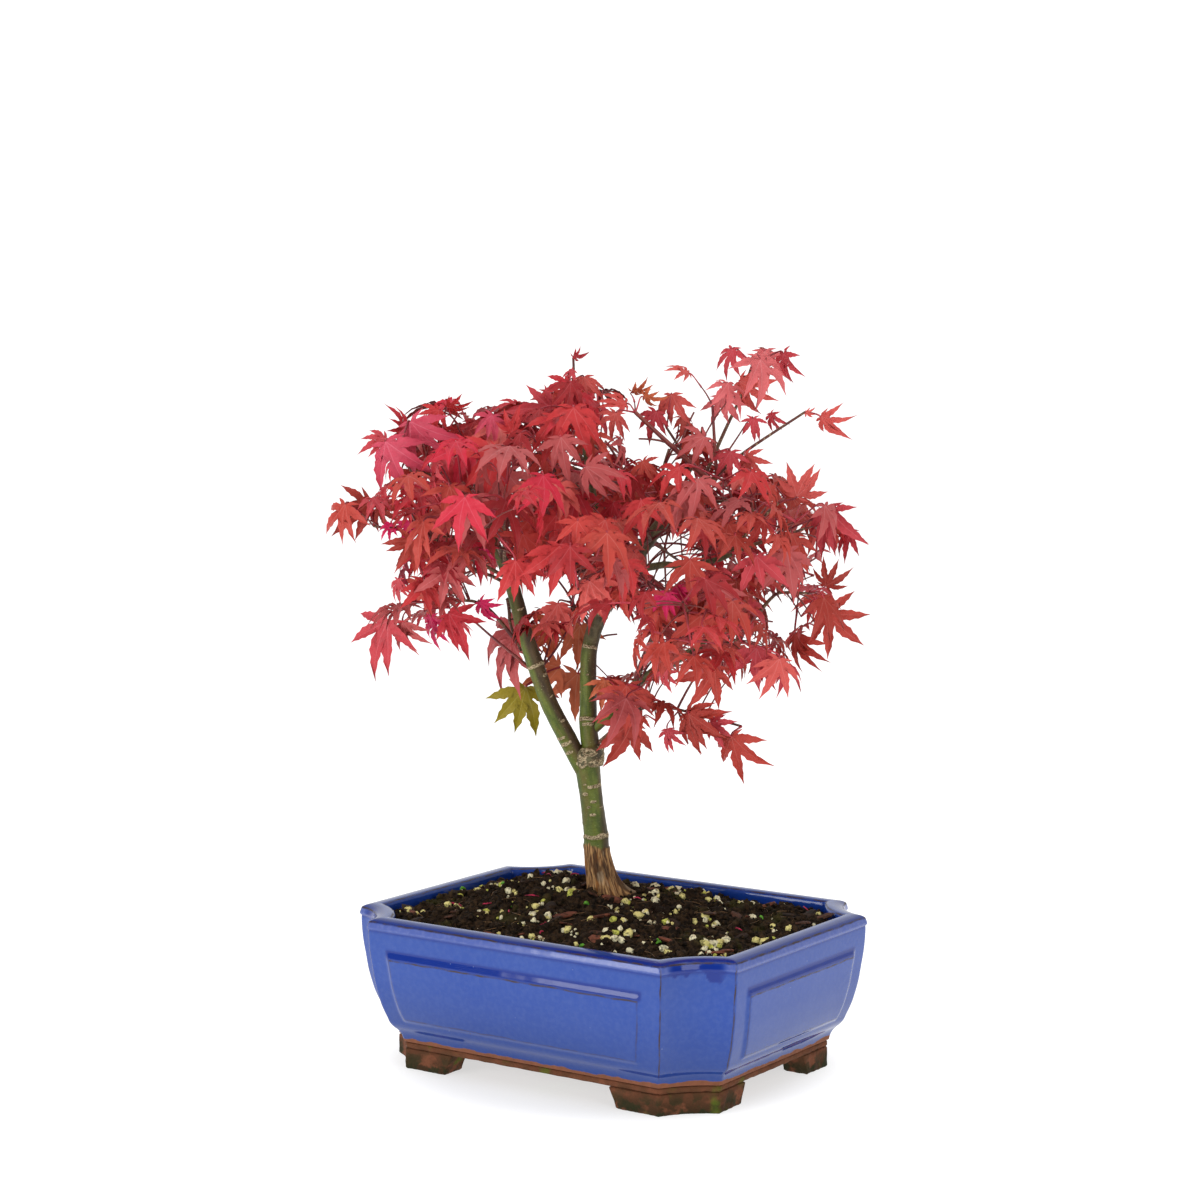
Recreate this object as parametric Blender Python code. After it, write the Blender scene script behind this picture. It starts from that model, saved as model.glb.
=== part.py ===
"""A young Japanese maple trained as a bonsai, standing in a glazed pot with notched corners.

Lengths below are in millimetres and become metres where a mesh is made.  The origin is on the
table under the middle of the pot, +X runs along the pot's long side and +Z is up.  The tree has
its own front, turned from the pot's, so its places are given as (across, depth, height): across
to the right of that front, depth towards the person looking at it.
"""

import math
import random
from collections import namedtuple

import bmesh
import bpy
from mathutils import Vector
from mathutils.bvhtree import BVHTree

MM = 0.001
GAP = 0.3                     # air between pieces that touch on the real plant
WELD = 0.0002                 # points of a joined solid closer than this are one
TREE_TURN = math.radians(34.5)  # from the pot's long side to the tree's front
UP = Vector((0, 0, 1))

# ---- the pot's driving sizes
POT_LENGTH = 210.0
POT_WIDTH = 163.0
RIM_HEIGHT = 72.0             # the rim's outer edge
RIM_WIDTH = 8.0
RIM_RISE = 1.3                # the rim's inner edge is this much higher
NOTCH = 23.7                  # from a corner to where the straight side ends, at the rim
NOTCH_SHIFT = 6.0             # the notch's arc is centred this far outside the corner
NOTCH_STEPS = 4
PANEL_TOP = 58.0
PANEL_FOOT = 25.5
PANEL_MARGIN = 9.8            # from the end of a side to its raised panel
PANEL_RELIEF = 1.1
PANEL_EDGE = 1.5              # width of the panel's sloping edge
BAND_TOP = 13.0               # bare clay shows below this height
BAND_INSET = 14.0
FOOT_HEIGHT = 10.0
FOOT_WALL = 13.0
FOOT_SLOPE = 4.0              # a foot is this much shorter on the table than under the pot
FOOT_LONG_REACH = 27.0        # how far a foot runs along the long side, past the notch
FOOT_SHORT_REACH = 22.0
FEET = (("foot_front_left", -1, -1), ("foot_front_right", 1, -1), ("foot_back_right", 1, 1),
        ("foot_back_left", -1, 1))
FLOOR_TOP = 20.0
# the wall outside and inside, as (height, inset from the rim's outline)
OUTER_WALL = ((BAND_TOP, 13.6), (17.0, 12.0), (21.0, 8.6), (PANEL_FOOT - PANEL_EDGE, 6.9),
              (PANEL_FOOT, 6.3), (33.0, 3.7), (41.0, 1.9), (49.0, 0.8), (PANEL_TOP, -0.35),
              (PANEL_TOP + PANEL_EDGE, -0.5), (65.0, -0.7), (69.0, -0.8), (RIM_HEIGHT, 0.0))
INNER_WALL = ((RIM_HEIGHT + RIM_RISE, RIM_WIDTH), (70.5, 8.9), (45.0, 9.9), (29.0, 13.0),
              (FLOOR_TOP, 18.0))

# ---- the soil
SOIL_EDGE = 64.5
SOIL_TOP = 74.4               # the flat place that the trunk stands on
SOIL_BUMP = 1.3
SOIL_FLAT = 17.0              # radius of that flat place
SOIL_RINGS = (0.22, 0.45, 0.68, 0.86, 1.0)  # shares of the way from the edge to the flat place

# ---- the wood, as (across, depth, height, diameter)
TRUNK_FOOT = SOIL_TOP + GAP
TRUNK = ((-2.4, -17, TRUNK_FOOT, 14.6), (-3.6, -17, 82, 14.0), (-5.3, -17, 90.4, 13.2),
         (-6.7, -17, 98.7, 12.2), (-7.4, -17, 106, 11.6), (-9.6, -17, 124, 10.9),
         (-11.2, -17, 138, 11.9), (-11.4, -17, 144, 12.2))
ROOTS = ((-12, 11.0, 26), (70, 5.0, 34), (165, 3.6, 40), (250, 4.2, 36))  # turn, reach, spread
ROOT_FADE = 6.5               # height over which the flare dies away
LEFT_BOUGH = ((-12.9, -17, 137, 8.8), (-21.0, -16, 152.7, 8.8), (-29.6, -14, 169.9, 8.3),
              (-36.2, -12, 188.9, 7.9), (-41.8, -10, 206.8, 7.3), (-45.5, -8, 222.2, 6.8),
              (-50.5, -6, 236.6, 5.8), (-58.0, -4, 253.3, 4.6), (-65.0, -2, 266.0, 3.4))
LEADER = ((-10.1, -17, 138, 8.6), (-9.8, -17, 147.3, 8.8), (-11.0, -17, 158.4, 8.6),
          (-11.0, -18, 169.3, 8.1), (-11.0, -18, 185.7, 7.8), (-10.1, -19, 196.7, 7.7),
          (-5.3, -20, 211.4, 7.4), (6.6, -19, 230.7, 7.0), (17.5, -16, 247.6, 6.8),
          (30.2, -13, 263.1, 5.8), (43.0, -10, 276.0, 4.6))
RIGHT_BOUGH = ((-9.0, -17, 156.5, 5.2), (-3.8, -15, 161.6, 5.2), (2.8, -13, 168.1, 4.9),
               (11.6, -10, 179.5, 4.6), (19.4, -8, 184.9, 4.4), (35.5, -4, 194.6, 4.0),
               (53.5, 0, 205.6, 3.2), (67.0, 4, 214.0, 2.4))
RIGHT_BRANCH = ((4.0, -19, 226.4, 3.8), (10.4, -15, 232.5, 3.7), (24.0, -9, 236.4, 3.3),
                (34.2, -4, 236.6, 3.0), (48.6, 2, 239.7, 2.6), (60.0, 8, 245.0, 2.2))
TOP_BOUGH = ((-2.6, -20, 217.0, 4.6), (-2.6, -23, 235.0, 4.4), (-6.2, -24, 256.4, 3.8),
             (-10.0, -21, 275.8, 3.1), (-12.6, -18, 291.0, 2.4))
BACK_BOUGH = ((-10.0, -20, 199.4, 4.4), (-7.2, -34, 209.9, 4.1), (-3.4, -50, 220.4, 3.4),
              (0.6, -64, 230.0, 2.6))
LIMBS = (("left_bough", LEFT_BOUGH, ("trunk",)), ("leader", LEADER, ("trunk", "left_bough")),
         ("right_bough", RIGHT_BOUGH, ("leader",)), ("right_branch", RIGHT_BRANCH, ("leader",)),
         ("top_bough", TOP_BOUGH, ("leader",)), ("back_bough", BACK_BOUGH, ("leader",)))
LIMB_END = ((0.3, 0.8), (0.48, 0.3))  # the rounded end, as steps and widths in diameters
WOOD_SIDES = 16
WOOD_STEP = 2                 # rings of a solid between two of the points above
LIMB_BEVEL = 2
LIMB_STEP = 6                 # points of a path between two of the points above
LIMB_ROOM = 0.1               # the crown keeps this much off the limbs, over and above the gap
TWIG_SIDES = 3

# ---- the leaves
LOBE_TURNS = (0, 39, 80)      # degrees between the middle lobe and the others
LOBE_REACHES = (1.0, 0.92, 0.68)  # as shares of the middle lobe
NOTCH_REACHES = (0.43, 0.39)  # the notches between them
LEAF_BASE_TURN = 148
LEAF_BASE = 0.20
LEAF_DROOP = 0.22             # how far the tips of the lobes hang below the middle of the leaf
LEAF_THICK = 0.036            # at the middle, as a share of the middle lobe
LEAF_ROOM = 1.05              # a leaf claims room this much longer than itself
LEAF_SIZES = (0.82, 1.08)     # as shares of its mass's leaf size
LEAF_FALLS = (12, 78)         # degrees that a blade hangs below level
LEAF_YAW = 30
LEAF_ROLL = 22
PETIOLE = 0.95                # diameter
PETIOLE_REACHES = (0.5, 1.0)  # its length, as a share of the leaf size
PETIOLE_LIFTS = (0.05, 0.75)
PETIOLE_FORWARD = 0.45
PETIOLE_LEAN = 0.45

# ---- the twigs
TWIG_ROOT = 2.0               # diameters
TWIG_TIP = 1.3
TWIG_ENDS = (1.0, 0.85, 0.7)  # a twig's taper
TWIG_ARCH = 0.09              # rise of its middle, as a share of its length
TWIG_REACHES = (0.55, 1.0)
TWIG_FORWARD = 0.5
TWIG_LIFT = 0.35
PAIR_PLAY = 0.3               # how far a pair of twigs may be from its turn, in radians
STEM_ENDS = (1.0, 0.95, 0.85)
STEM_ARCH = 0.10
STEM_BEND = 0.55              # where the stem's lower bend is, on the way to its middle
STEM_BEND_RISE = 0.02
STEM_PLAY = 0.12
LAST_PAIR = 0.98              # where a stem's last pair of leaves is, between its bare part and tip
ONLY_PAIR = 0.97
TRIES = 9                     # ways that a stem or leaf is tried before it is left out
CROWN_REACH = 110.5           # no leaf goes further than this from the middle, along X or Y

Mass = namedtuple("Mass", "name limb along tip nodes bare leaf seed")
MASSES = (
    Mass("top_shoot", "top_bough", 1.0, (-18, -16, 334), 1, 0.5, 12, 712),
    Mass("whorl_top", "leader", 1.0, (66, -14, 330), 1, 0.6, 25, 330),
    Mass("whorl_right", "leader", 0.955, (90, 4, 309), 1, 0.6, 17, 581),
    Mass("whorl_left", "leader", 0.975, (26, -6, 301), 2, 0.65, 24, 152),
    Mass("whorl_middle", "leader", 0.94, (42, 8, 302), 1, 0.5, 26, 884),
    Mass("far_left", "left_bough", 0.83, (-111, 6, 256), 2, 0.62, 26, 115),
    Mass("lower_left", "left_bough", 0.45, (-93, -4, 219), 2, 0.62, 28, 692),
    Mass("lower_left_inner", "left_bough", 0.6, (-43, -14, 195), 1, 0.5, 24, 896),
    Mass("low_back_left", "left_bough", 0.3, (-38, -36, 182), 1, 0.5, 28, 342),
    Mass("low_right", "leader", 0.135, (61, 8, 162), 3, 0.3, 25, 546),
    Mass("low_front", "right_bough", 0.3, (14, 14, 181), 1, 0.5, 28, 528),
    Mass("right_under", "right_bough", 0.74, (59, 14, 204), 1, 0.5, 29, 393),
    Mass("right_lower", "right_bough", 1.0, (92, 12, 225), 2, 0.5, 29, 218),
    Mass("right_far", "right_branch", 1.0, (90, 8, 255), 2, 0.5, 28, 75),
    Mass("right_upper", "right_branch", 0.92, (78, 6, 267), 2, 0.5, 27, 795),
    Mass("whorl_back", "leader", 0.9, (28, -50, 289), 2, 0.5, 25, 470),
    Mass("top_middle", "top_bough", 0.93, (-29, -12, 300), 2, 0.4, 26, 245),
    Mass("upper_left_top", "left_bough", 0.96, (-67, -10, 287), 2, 0.5, 28, 906),
    Mass("upper_left_tip", "left_bough", 1.0, (-94, 4, 282), 2, 0.5, 28, 565),
    Mass("top_left_front", "top_bough", 0.66, (-27, 26, 285), 2, 0.5, 28, 157),
    Mass("top_right_front", "top_bough", 0.74, (-9, 22, 278), 2, 0.5, 28, 573),
    Mass("left_middle", "left_bough", 0.72, (-85, 16, 253), 2, 0.55, 28, 247),
    Mass("upper_left_front", "left_bough", 0.88, (-77, 38, 270), 2, 0.5, 29, 311),
    Mass("centre_low", "leader", 0.56, (-19, -2, 218), 2, 0.5, 25, 649),
    Mass("behind_trunk", "leader", 0.42, (-16, -58, 188), 2, 0.55, 26, 408),
    Mass("right_inner", "right_bough", 0.5, (26, 22, 228), 2, 0.5, 27, 917),
    Mass("right_lower_front", "right_bough", 0.85, (59, 46, 206), 2, 0.5, 29, 628),
    Mass("right_front", "right_branch", 0.75, (44, 50, 246), 2, 0.5, 29, 798),
    Mass("whorl_under", "leader", 0.92, (66, 32, 264), 2, 0.5, 28, 601),
    Mass("inner_front", "leader", 0.77, (15, 34, 256), 2, 0.5, 29, 292),
    Mass("centre_front", "leader", 0.62, (-21, 38, 240), 2, 0.5, 29, 539),
    Mass("centre_left", "left_bough", 0.79, (-46, 26, 245), 2, 0.5, 28, 28),
    Mass("front_middle", "leader", 0.7, (-15, 72, 233), 2, 0.5, 29, 390),
    Mass("front_left", "left_bough", 0.76, (-58, 74, 259), 2, 0.5, 29, 320),
    Mass("front_right", "right_bough", 0.66, (31, 80, 228), 2, 0.5, 29, 479),
    Mass("upper_left_back", "left_bough", 0.92, (-82, -52, 279), 2, 0.5, 29, 572),
    Mass("left_middle_back", "left_bough", 0.67, (-75, -54, 234), 2, 0.55, 28, 754),
    Mass("top_left_back", "top_bough", 0.8, (-34, -62, 283), 2, 0.5, 28, 879),
    Mass("top_right_back", "top_bough", 0.87, (-4, -58, 290), 2, 0.5, 27, 313),
    Mass("right_back", "right_branch", 0.84, (61, -62, 246), 2, 0.5, 29, 629),
    Mass("right_lower_back", "right_bough", 0.92, (57, -56, 197), 2, 0.5, 28, 156),
    Mass("inner_back", "leader", 0.8, (37, -68, 231), 2, 0.5, 28, 195),
    Mass("centre_back", "back_bough", 1.0, (-23, -94, 244), 2, 0.4, 29, 698),
    Mass("centre_back_left", "back_bough", 0.8, (-35, -80, 240), 2, 0.5, 29, 875),
    Mass("centre_back_right", "back_bough", 0.9, (22, -92, 239), 2, 0.5, 28, 839),
)

CLAY = (0.42, 0.17, 0.08)
GLAZE = (0.03, 0.06, 0.38)
SOIL = (0.035, 0.022, 0.015)
BARK = (0.10, 0.13, 0.04)
LEAF_RED = (0.50, 0.035, 0.045)


def place(across, depth, height):
    """A place given in the tree's own front, in the pot's axes."""
    c, s = math.cos(TREE_TURN), math.sin(TREE_TURN)
    return Vector((across * c + depth * s, across * s - depth * c, height))


def material(name, colour, roughness):
    made = bpy.data.materials.new(name)
    made.use_nodes = True
    shader = made.node_tree.nodes["Principled BSDF"]
    shader.inputs["Base Color"].default_value = (*colour, 1)
    shader.inputs["Roughness"].default_value = roughness
    shader.inputs["Metallic"].default_value = 0
    return made


def solid(name, points, faces, look, collection):
    """An object from points in millimetres, with its faces turned outwards."""
    mesh = bpy.data.meshes.new(name)
    mesh.from_pydata([Vector(p) * MM for p in points], [], faces)
    work = bmesh.new()
    work.from_mesh(mesh)
    bmesh.ops.recalc_face_normals(work, faces=work.faces)
    work.to_mesh(mesh)
    work.free()
    mesh.materials.append(look)
    made = bpy.data.objects.new(name, mesh)
    collection.objects.link(made)
    return made


def loft(rings):
    """Points and faces of a closed solid through rings that have the same number of points."""
    count = len(rings[0])
    points = [p for ring in rings for p in ring]
    faces = [tuple(range(count))[::-1]]
    for r in range(len(rings) - 1):
        low, high = r * count, (r + 1) * count
        for i in range(count):
            j = (i + 1) % count
            faces.append((low + i, low + j, high + j, high + i))
    last = (len(rings) - 1) * count
    faces.append(tuple(range(last, last + count)))
    return points, faces


# ---- pot

def notch_arc(inset):
    """The notch at the corner (+X, +Y), from the side that faces +X round to the one facing +Y."""
    centre_x = POT_LENGTH / 2 + NOTCH_SHIFT
    centre_y = POT_WIDTH / 2 + NOTCH_SHIFT
    reach = math.hypot(NOTCH + NOTCH_SHIFT, NOTCH_SHIFT) + inset
    start = math.asin((NOTCH_SHIFT + inset) / reach)
    points = []
    for i in range(NOTCH_STEPS + 1):
        turn = start + (math.pi / 2 - 2 * start) * i / NOTCH_STEPS
        points.append((centre_x - reach * math.sin(turn), centre_y - reach * math.cos(turn)))
    return points[::-1] if points[0][0] < points[-1][0] else points


def outline(inset, panel_lift=None):
    """The pot's notched outline, offset inwards, with the panel's columns where a lift is given."""
    arc = notch_arc(inset)
    end_y, end_x = arc[0][1], arc[-1][0]
    points = []
    for quarter in range(4):
        turned = quarter % 2
        end = end_x if turned else end_y
        half = (POT_WIDTH if turned else POT_LENGTH) / 2 - inset
        if panel_lift is not None:
            outer = end - PANEL_MARGIN
            inner = outer - PANEL_EDGE
            columns = ((-outer, 0), (-inner, panel_lift), (inner, panel_lift), (outer, 0))
            side = [(half + lift, along) for along, lift in columns]
        else:
            side = []
        corner = [(y, x) for x, y in arc[::-1]] if turned else arc
        for x, y in side + corner:
            points.append(((x, y), (-y, x), (-x, -y), (y, -x))[quarter])
    return points


def make_pot(collection, glaze):
    """The glazed bowl: raised panels outside, a broad rim, a hollow inside."""
    rings = []
    for height, inset in OUTER_WALL:
        lift = PANEL_RELIEF if PANEL_FOOT <= height <= PANEL_TOP else 0
        rings.append([(x, y, height) for x, y in outline(inset, lift)])
    for height, inset in INNER_WALL:
        rings.append([(x, y, height) for x, y in outline(inset, 0)])
    return solid("pot", *loft(rings), glaze, collection)


def make_band(collection, clay):
    """The bare clay plate between the glaze and the feet."""
    rings = [[(x, y, height) for x, y in outline(BAND_INSET)]
             for height in (FOOT_HEIGHT, BAND_TOP - GAP)]
    return solid("clay_band", *loft(rings), clay, collection)


def make_foot(name, sign_x, sign_y, collection, clay):
    """One corner foot: a bent wall that follows the notch, its two ends cut on a slope."""
    rings = []
    for height, shorter in ((0, FOOT_SLOPE), (FOOT_HEIGHT - GAP, 0)):
        outer = notch_arc(BAND_INSET)
        inner = notch_arc(BAND_INSET + FOOT_WALL)
        long_end = outer[-1][0] - FOOT_LONG_REACH + shorter
        short_end = outer[0][1] - FOOT_SHORT_REACH + shorter
        ring = [(outer[0][0], short_end)] + outer + [(long_end, outer[-1][1])]
        ring += [(long_end, inner[-1][1])] + inner[::-1] + [(inner[0][0], short_end)]
        rings.append([(sign_x * x, sign_y * y, height) for x, y in ring])
    return solid(name, *loft(rings), clay, collection)


# ---- soil

def make_soil(collection, look):
    """The soil that fills the bowl, mounded up to the trunk, with a flat place under it."""
    trunk = place(*TRUNK[0][:3])
    rings = []
    for height, inset in INNER_WALL[::-1]:
        level = max(FLOOR_TOP + GAP, min(height, SOIL_EDGE))
        rings.append([(x, y, level) for x, y in outline(inset + GAP)])
        if height >= SOIL_EDGE:
            break
    edge = rings[-1]
    count = len(edge)
    for share in SOIL_RINGS:
        ring = []
        for i, (x, y, _) in enumerate(edge):
            turn = math.atan2(y - trunk.y, x - trunk.x)
            flat = (trunk.x + SOIL_FLAT * math.cos(turn), trunk.y + SOIL_FLAT * math.sin(turn))
            rise = share * share * (3 - 2 * share)
            bump = SOIL_BUMP * math.sin(7 * share + 2.4 * i) * math.sin(math.pi * share)
            level = SOIL_EDGE + (SOIL_TOP - SOIL_EDGE) * rise + bump
            ring.append((x + (flat[0] - x) * share, y + (flat[1] - y) * share, level))
        rings.append(ring)
    return solid("soil", *loft(rings), look, collection)


# ---- wood

def path_through(points, step=LIMB_STEP):
    """Points on a smooth curve through the given ones; the last value of each is its diameter."""
    values = [list(place(*p[:3])) + [p[3]] for p in points]
    values = [values[0]] + values + [values[-1]]
    path = []
    for i in range(1, len(values) - 2):
        a, b, c, d = values[i - 1:i + 3]
        for k in range(step):
            t = k / step
            path.append([0.5 * (2 * q + (r - p) * t + (2 * p - 5 * q + 4 * r - s) * t * t
                                + (3 * q - p - 3 * r + s) * t ** 3)
                         for p, q, r, s in zip(a, b, c, d)])
    path.append(values[-1])
    return [(Vector(p[:3]), p[3]) for p in path]


def tube(path, sides, grow=0.0):
    """Points and faces of a tapering tube along (place, diameter) pairs, its ends closed."""
    rings = []
    side = None
    for i, (here, width) in enumerate(path):
        along = (path[min(i + 1, len(path) - 1)][0] - path[max(i - 1, 0)][0]).normalized()
        if side is None:
            side = along.orthogonal().normalized()
        side = (side - along * side.dot(along)).normalized()
        other = along.cross(side)
        middle = here + along * (grow if i == len(path) - 1 else -grow if i == 0 else 0)
        reach = width / 2 + grow
        rings.append([middle + side * (reach * math.cos(turn)) + other * (reach * math.sin(turn))
                      for turn in (2 * math.pi * k / sides for k in range(sides))])
    return loft(rings)


def rounded(path):
    """The path with its far end rounded off."""
    end, width = path[-1]
    along = (end - path[-2][0]).normalized()
    return path + [(end + along * (width * step), width * share) for step, share in LIMB_END]


def make_trunk(collection, look):
    """The trunk from its flat cut on the soil to the fork, with the roots' flare at its foot."""
    rings = []
    for here, width in path_through(TRUNK, WOOD_STEP):
        ring = []
        for k in range(WOOD_SIDES):
            turn = 2 * math.pi * k / WOOD_SIDES
            flare = 0
            for root_turn, reach, spread in ROOTS:
                apart = (math.degrees(turn) - root_turn + 180) % 360 - 180
                flare += reach * math.exp(-(apart / spread) ** 2)
            reach = width / 2 + flare * math.exp(-(here.z - TRUNK_FOOT) / ROOT_FADE)
            ring.append(here + place(reach * math.cos(turn), reach * math.sin(turn), 0))
        rings.append(ring)
    return solid("trunk", *loft(rings), look, collection)


def make_limb(name, points, collection, look):
    """A bough or branch: a curve whose bevel tapers, turned into a mesh with its caps welded."""
    path = rounded(path_through(points, WOOD_STEP))
    curve = bpy.data.curves.new(name, "CURVE")
    curve.dimensions = "3D"
    curve.bevel_depth = MM
    curve.bevel_resolution = LIMB_BEVEL
    curve.use_fill_caps = True
    spline = curve.splines.new("POLY")
    spline.points.add(len(path) - 1)
    for point, (here, width) in zip(spline.points, path):
        point.co = (*(here * MM), 1)
        point.radius = width / 2
    guide = bpy.data.objects.new(name, curve)
    collection.objects.link(guide)
    seen = guide.evaluated_get(bpy.context.evaluated_depsgraph_get())
    mesh = bpy.data.meshes.new_from_object(seen)
    bpy.data.objects.remove(guide)
    bpy.data.curves.remove(curve)
    work = bmesh.new()
    work.from_mesh(mesh)
    bmesh.ops.remove_doubles(work, verts=work.verts, dist=WELD * MM)
    bmesh.ops.recalc_face_normals(work, faces=work.faces)
    work.to_mesh(mesh)
    work.free()
    mesh.materials.clear()
    mesh.materials.append(look)
    mesh.name = name
    made = bpy.data.objects.new(name, mesh)
    collection.objects.link(made)
    return made


def cut_clear(piece, points, faces, cutters):
    """Cuts a piece back from a slightly larger copy of the limb that it grows from."""
    cutter = solid(piece.name + "_cutter", points, faces, piece.data.materials[0], cutters)
    cutter.hide_render = True
    cutter.display_type = "WIRE"
    cut = piece.modifiers.new("clear of the limb", "BOOLEAN")
    cut.operation = "DIFFERENCE"
    cut.object = cutter


# ---- leaves and twigs

def leaf_solid(hub, along, face, size, node, grow=0.0):
    """A lobed leaf on its petiole, as one closed solid, and the number of its blade's faces.

    The blade is a star: a point above and a point below its hub, joined to an outline that hangs
    towards the lobes' tips.  One face under the hub is left out, and the petiole, a three-sided
    tube, runs from there to its node.
    """
    across = face.cross(along)
    turns = [(LEAF_BASE_TURN, LEAF_BASE)]
    lobes = list(zip(LOBE_TURNS, LOBE_REACHES))
    for i in range(len(lobes) - 1, 0, -1):
        turns.append((lobes[i][0], lobes[i][1]))
        turns.append(((lobes[i][0] + lobes[i - 1][0]) / 2, NOTCH_REACHES[i - 1]))
    outline_turns = [(-t, r) for t, r in turns] + [(0, 1.0)] + turns[::-1]
    swell = LEAF_ROOM if grow else 1
    points = []
    for turn, reach in outline_turns:
        r = reach * size * swell
        t = math.radians(turn)
        points.append(hub + along * (r * math.cos(t)) + across * (r * math.sin(t))
                      - face * (LEAF_DROOP * reach * reach * size))
    count = len(points)
    thick = LEAF_THICK * size / 2 + grow
    top, bottom = count, count + 1
    points += [hub + face * thick, hub - face * thick]
    faces = [(top, i, (i + 1) % count) for i in range(count)]
    faces += [(bottom, i + 1, i) for i in range(count - 1)]
    blade = len(faces)
    ring = [bottom, 0, count - 1]
    start = (points[bottom] + points[0] + points[count - 1]) / 3
    away = (node - start).normalized()
    first = points[bottom] - start
    first = (first - away * first.dot(away)).normalized()
    second = away.cross(first)
    if (points[0] - points[count - 1]).dot(second) < 0:
        second = -second
    half = PETIOLE / 2 + grow
    new = []
    for turn in (0, 120, 240):
        t = math.radians(turn)
        points.append(node + first * (half * math.cos(t)) + second * (half * math.sin(t)))
        new.append(len(points) - 1)
    for i in range(3):
        j = (i + 1) % 3
        faces.append((ring[i], ring[j], new[j]))
        faces.append((ring[i], new[j], new[i]))
    faces.append(tuple(new[::-1]))
    return points, faces, blade


class Room:
    """What is already in the crown, so that a new leaf or twig can be kept off it."""

    def __init__(self, paths):
        self.taken = []
        for path in paths.values():
            self.add(*tube(rounded(path), WOOD_SIDES, LIMB_ROOM))
        self.limbs = list(range(len(self.taken)))

    def add(self, points, faces):
        middle = sum(points, Vector()) / len(points)
        reach = max((p - middle).length for p in points)
        self.taken.append((middle, reach, BVHTree.FromPolygons(points, faces)))

    def free(self, points, faces, skip=()):
        middle = sum(points, Vector()) / len(points)
        reach = max((p - middle).length for p in points)
        shape = None
        for i, (other, other_reach, tree) in enumerate(self.taken):
            if i in skip or (middle - other).length > reach + other_reach:
                continue
            shape = shape or BVHTree.FromPolygons(points, faces)
            if shape.overlap(tree):
                return False
        return True


def limb_paths():
    """Each limb's smooth path, by name."""
    paths = {"trunk": path_through(TRUNK)}
    for name, points, _ in LIMBS:
        paths[name] = path_through(points)
    return paths


def grow_stem(chance, path, along, tip, room):
    """An arched stem from just clear of the limb's skin to its tip, bent until it touches nothing."""
    here, width = path[round(along * (len(path) - 1))]
    towards = (tip - here).normalized()
    if along < 1:
        i = round(along * (len(path) - 1))
        limb = (path[i + 1][0] - path[i - 1][0]).normalized()
        towards = (towards - limb * towards.dot(limb)).normalized()
    length = (tip - here).length
    for _ in range(TRIES):
        aside = Vector([chance.uniform(-STEM_PLAY, STEM_PLAY) for _ in range(3)])
        root = here + towards * (width / 2 + GAP)
        middle = root.lerp(tip, 0.5) + (UP * STEM_ARCH + aside) * length
        bend = root.lerp(middle, STEM_BEND) + UP * (STEM_BEND_RISE * length)
        slant = towards.cross((bend - root).normalized()).length
        root += towards * (TWIG_ROOT / 2 * slant)
        widths = [TWIG_ROOT * share for share in STEM_ENDS] + [TWIG_TIP]
        stem = list(zip((root, bend, middle, tip), widths))
        if room.free(*tube(stem, TWIG_SIDES, GAP), room.limbs) and room.free(*tube(stem, TWIG_SIDES)):
            return stem
    return None


def fits(points):
    """Whether a piece stays within the crown's reach."""
    return all(abs(p.x) < CROWN_REACH and abs(p.y) < CROWN_REACH for p in points)


def grow_leaf(chance, node, outward, along, size, room, skip):
    """A leaf from a node, turned until it touches nothing, or None."""
    for _ in range(TRIES):
        lift = chance.uniform(*PETIOLE_LIFTS)
        lean = Vector([chance.uniform(-PETIOLE_LEAN, PETIOLE_LEAN) for _ in range(3)])
        away = (outward + along * PETIOLE_FORWARD + UP * lift + lean).normalized()
        length = size * chance.uniform(*PETIOLE_REACHES)
        fall = math.radians(chance.uniform(*LEAF_FALLS))
        yaw = math.radians(chance.uniform(-LEAF_YAW, LEAF_YAW))
        roll = math.radians(chance.uniform(-LEAF_ROLL, LEAF_ROLL))
        reach = size * chance.uniform(*LEAF_SIZES)
        flat = Vector((away.x, away.y, 0))
        if flat.length < 0.1:
            continue
        flat.normalize()
        flat = Vector((flat.x * math.cos(yaw) - flat.y * math.sin(yaw),
                       flat.x * math.sin(yaw) + flat.y * math.cos(yaw), 0))
        down = flat * math.cos(fall) - UP * math.sin(fall)
        face = flat * math.sin(fall) + UP * math.cos(fall)
        face = face * math.cos(roll) + down.cross(face) * math.sin(roll)
        hub = node + away * length
        points, faces, blade = leaf_solid(hub, down, face, reach, node, GAP)
        if not fits(points):
            continue
        if not room.free(points, faces, skip) or not room.free(points, faces[:blade]):
            continue
        return hub, down, face, reach, node
    return None


def grow_twig(start, end, width, room, skip):
    """A slightly arched twig between two points as a tube's path, or None where it would touch."""
    middle = start.lerp(end, 0.5) + UP * (TWIG_ARCH * (end - start).length)
    path = [(here, width * share) for here, share in zip((start, middle, end), TWIG_ENDS)]
    points, faces = tube(path, TWIG_SIDES, GAP)
    if not room.free(points, faces, skip):
        return None
    return path


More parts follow.
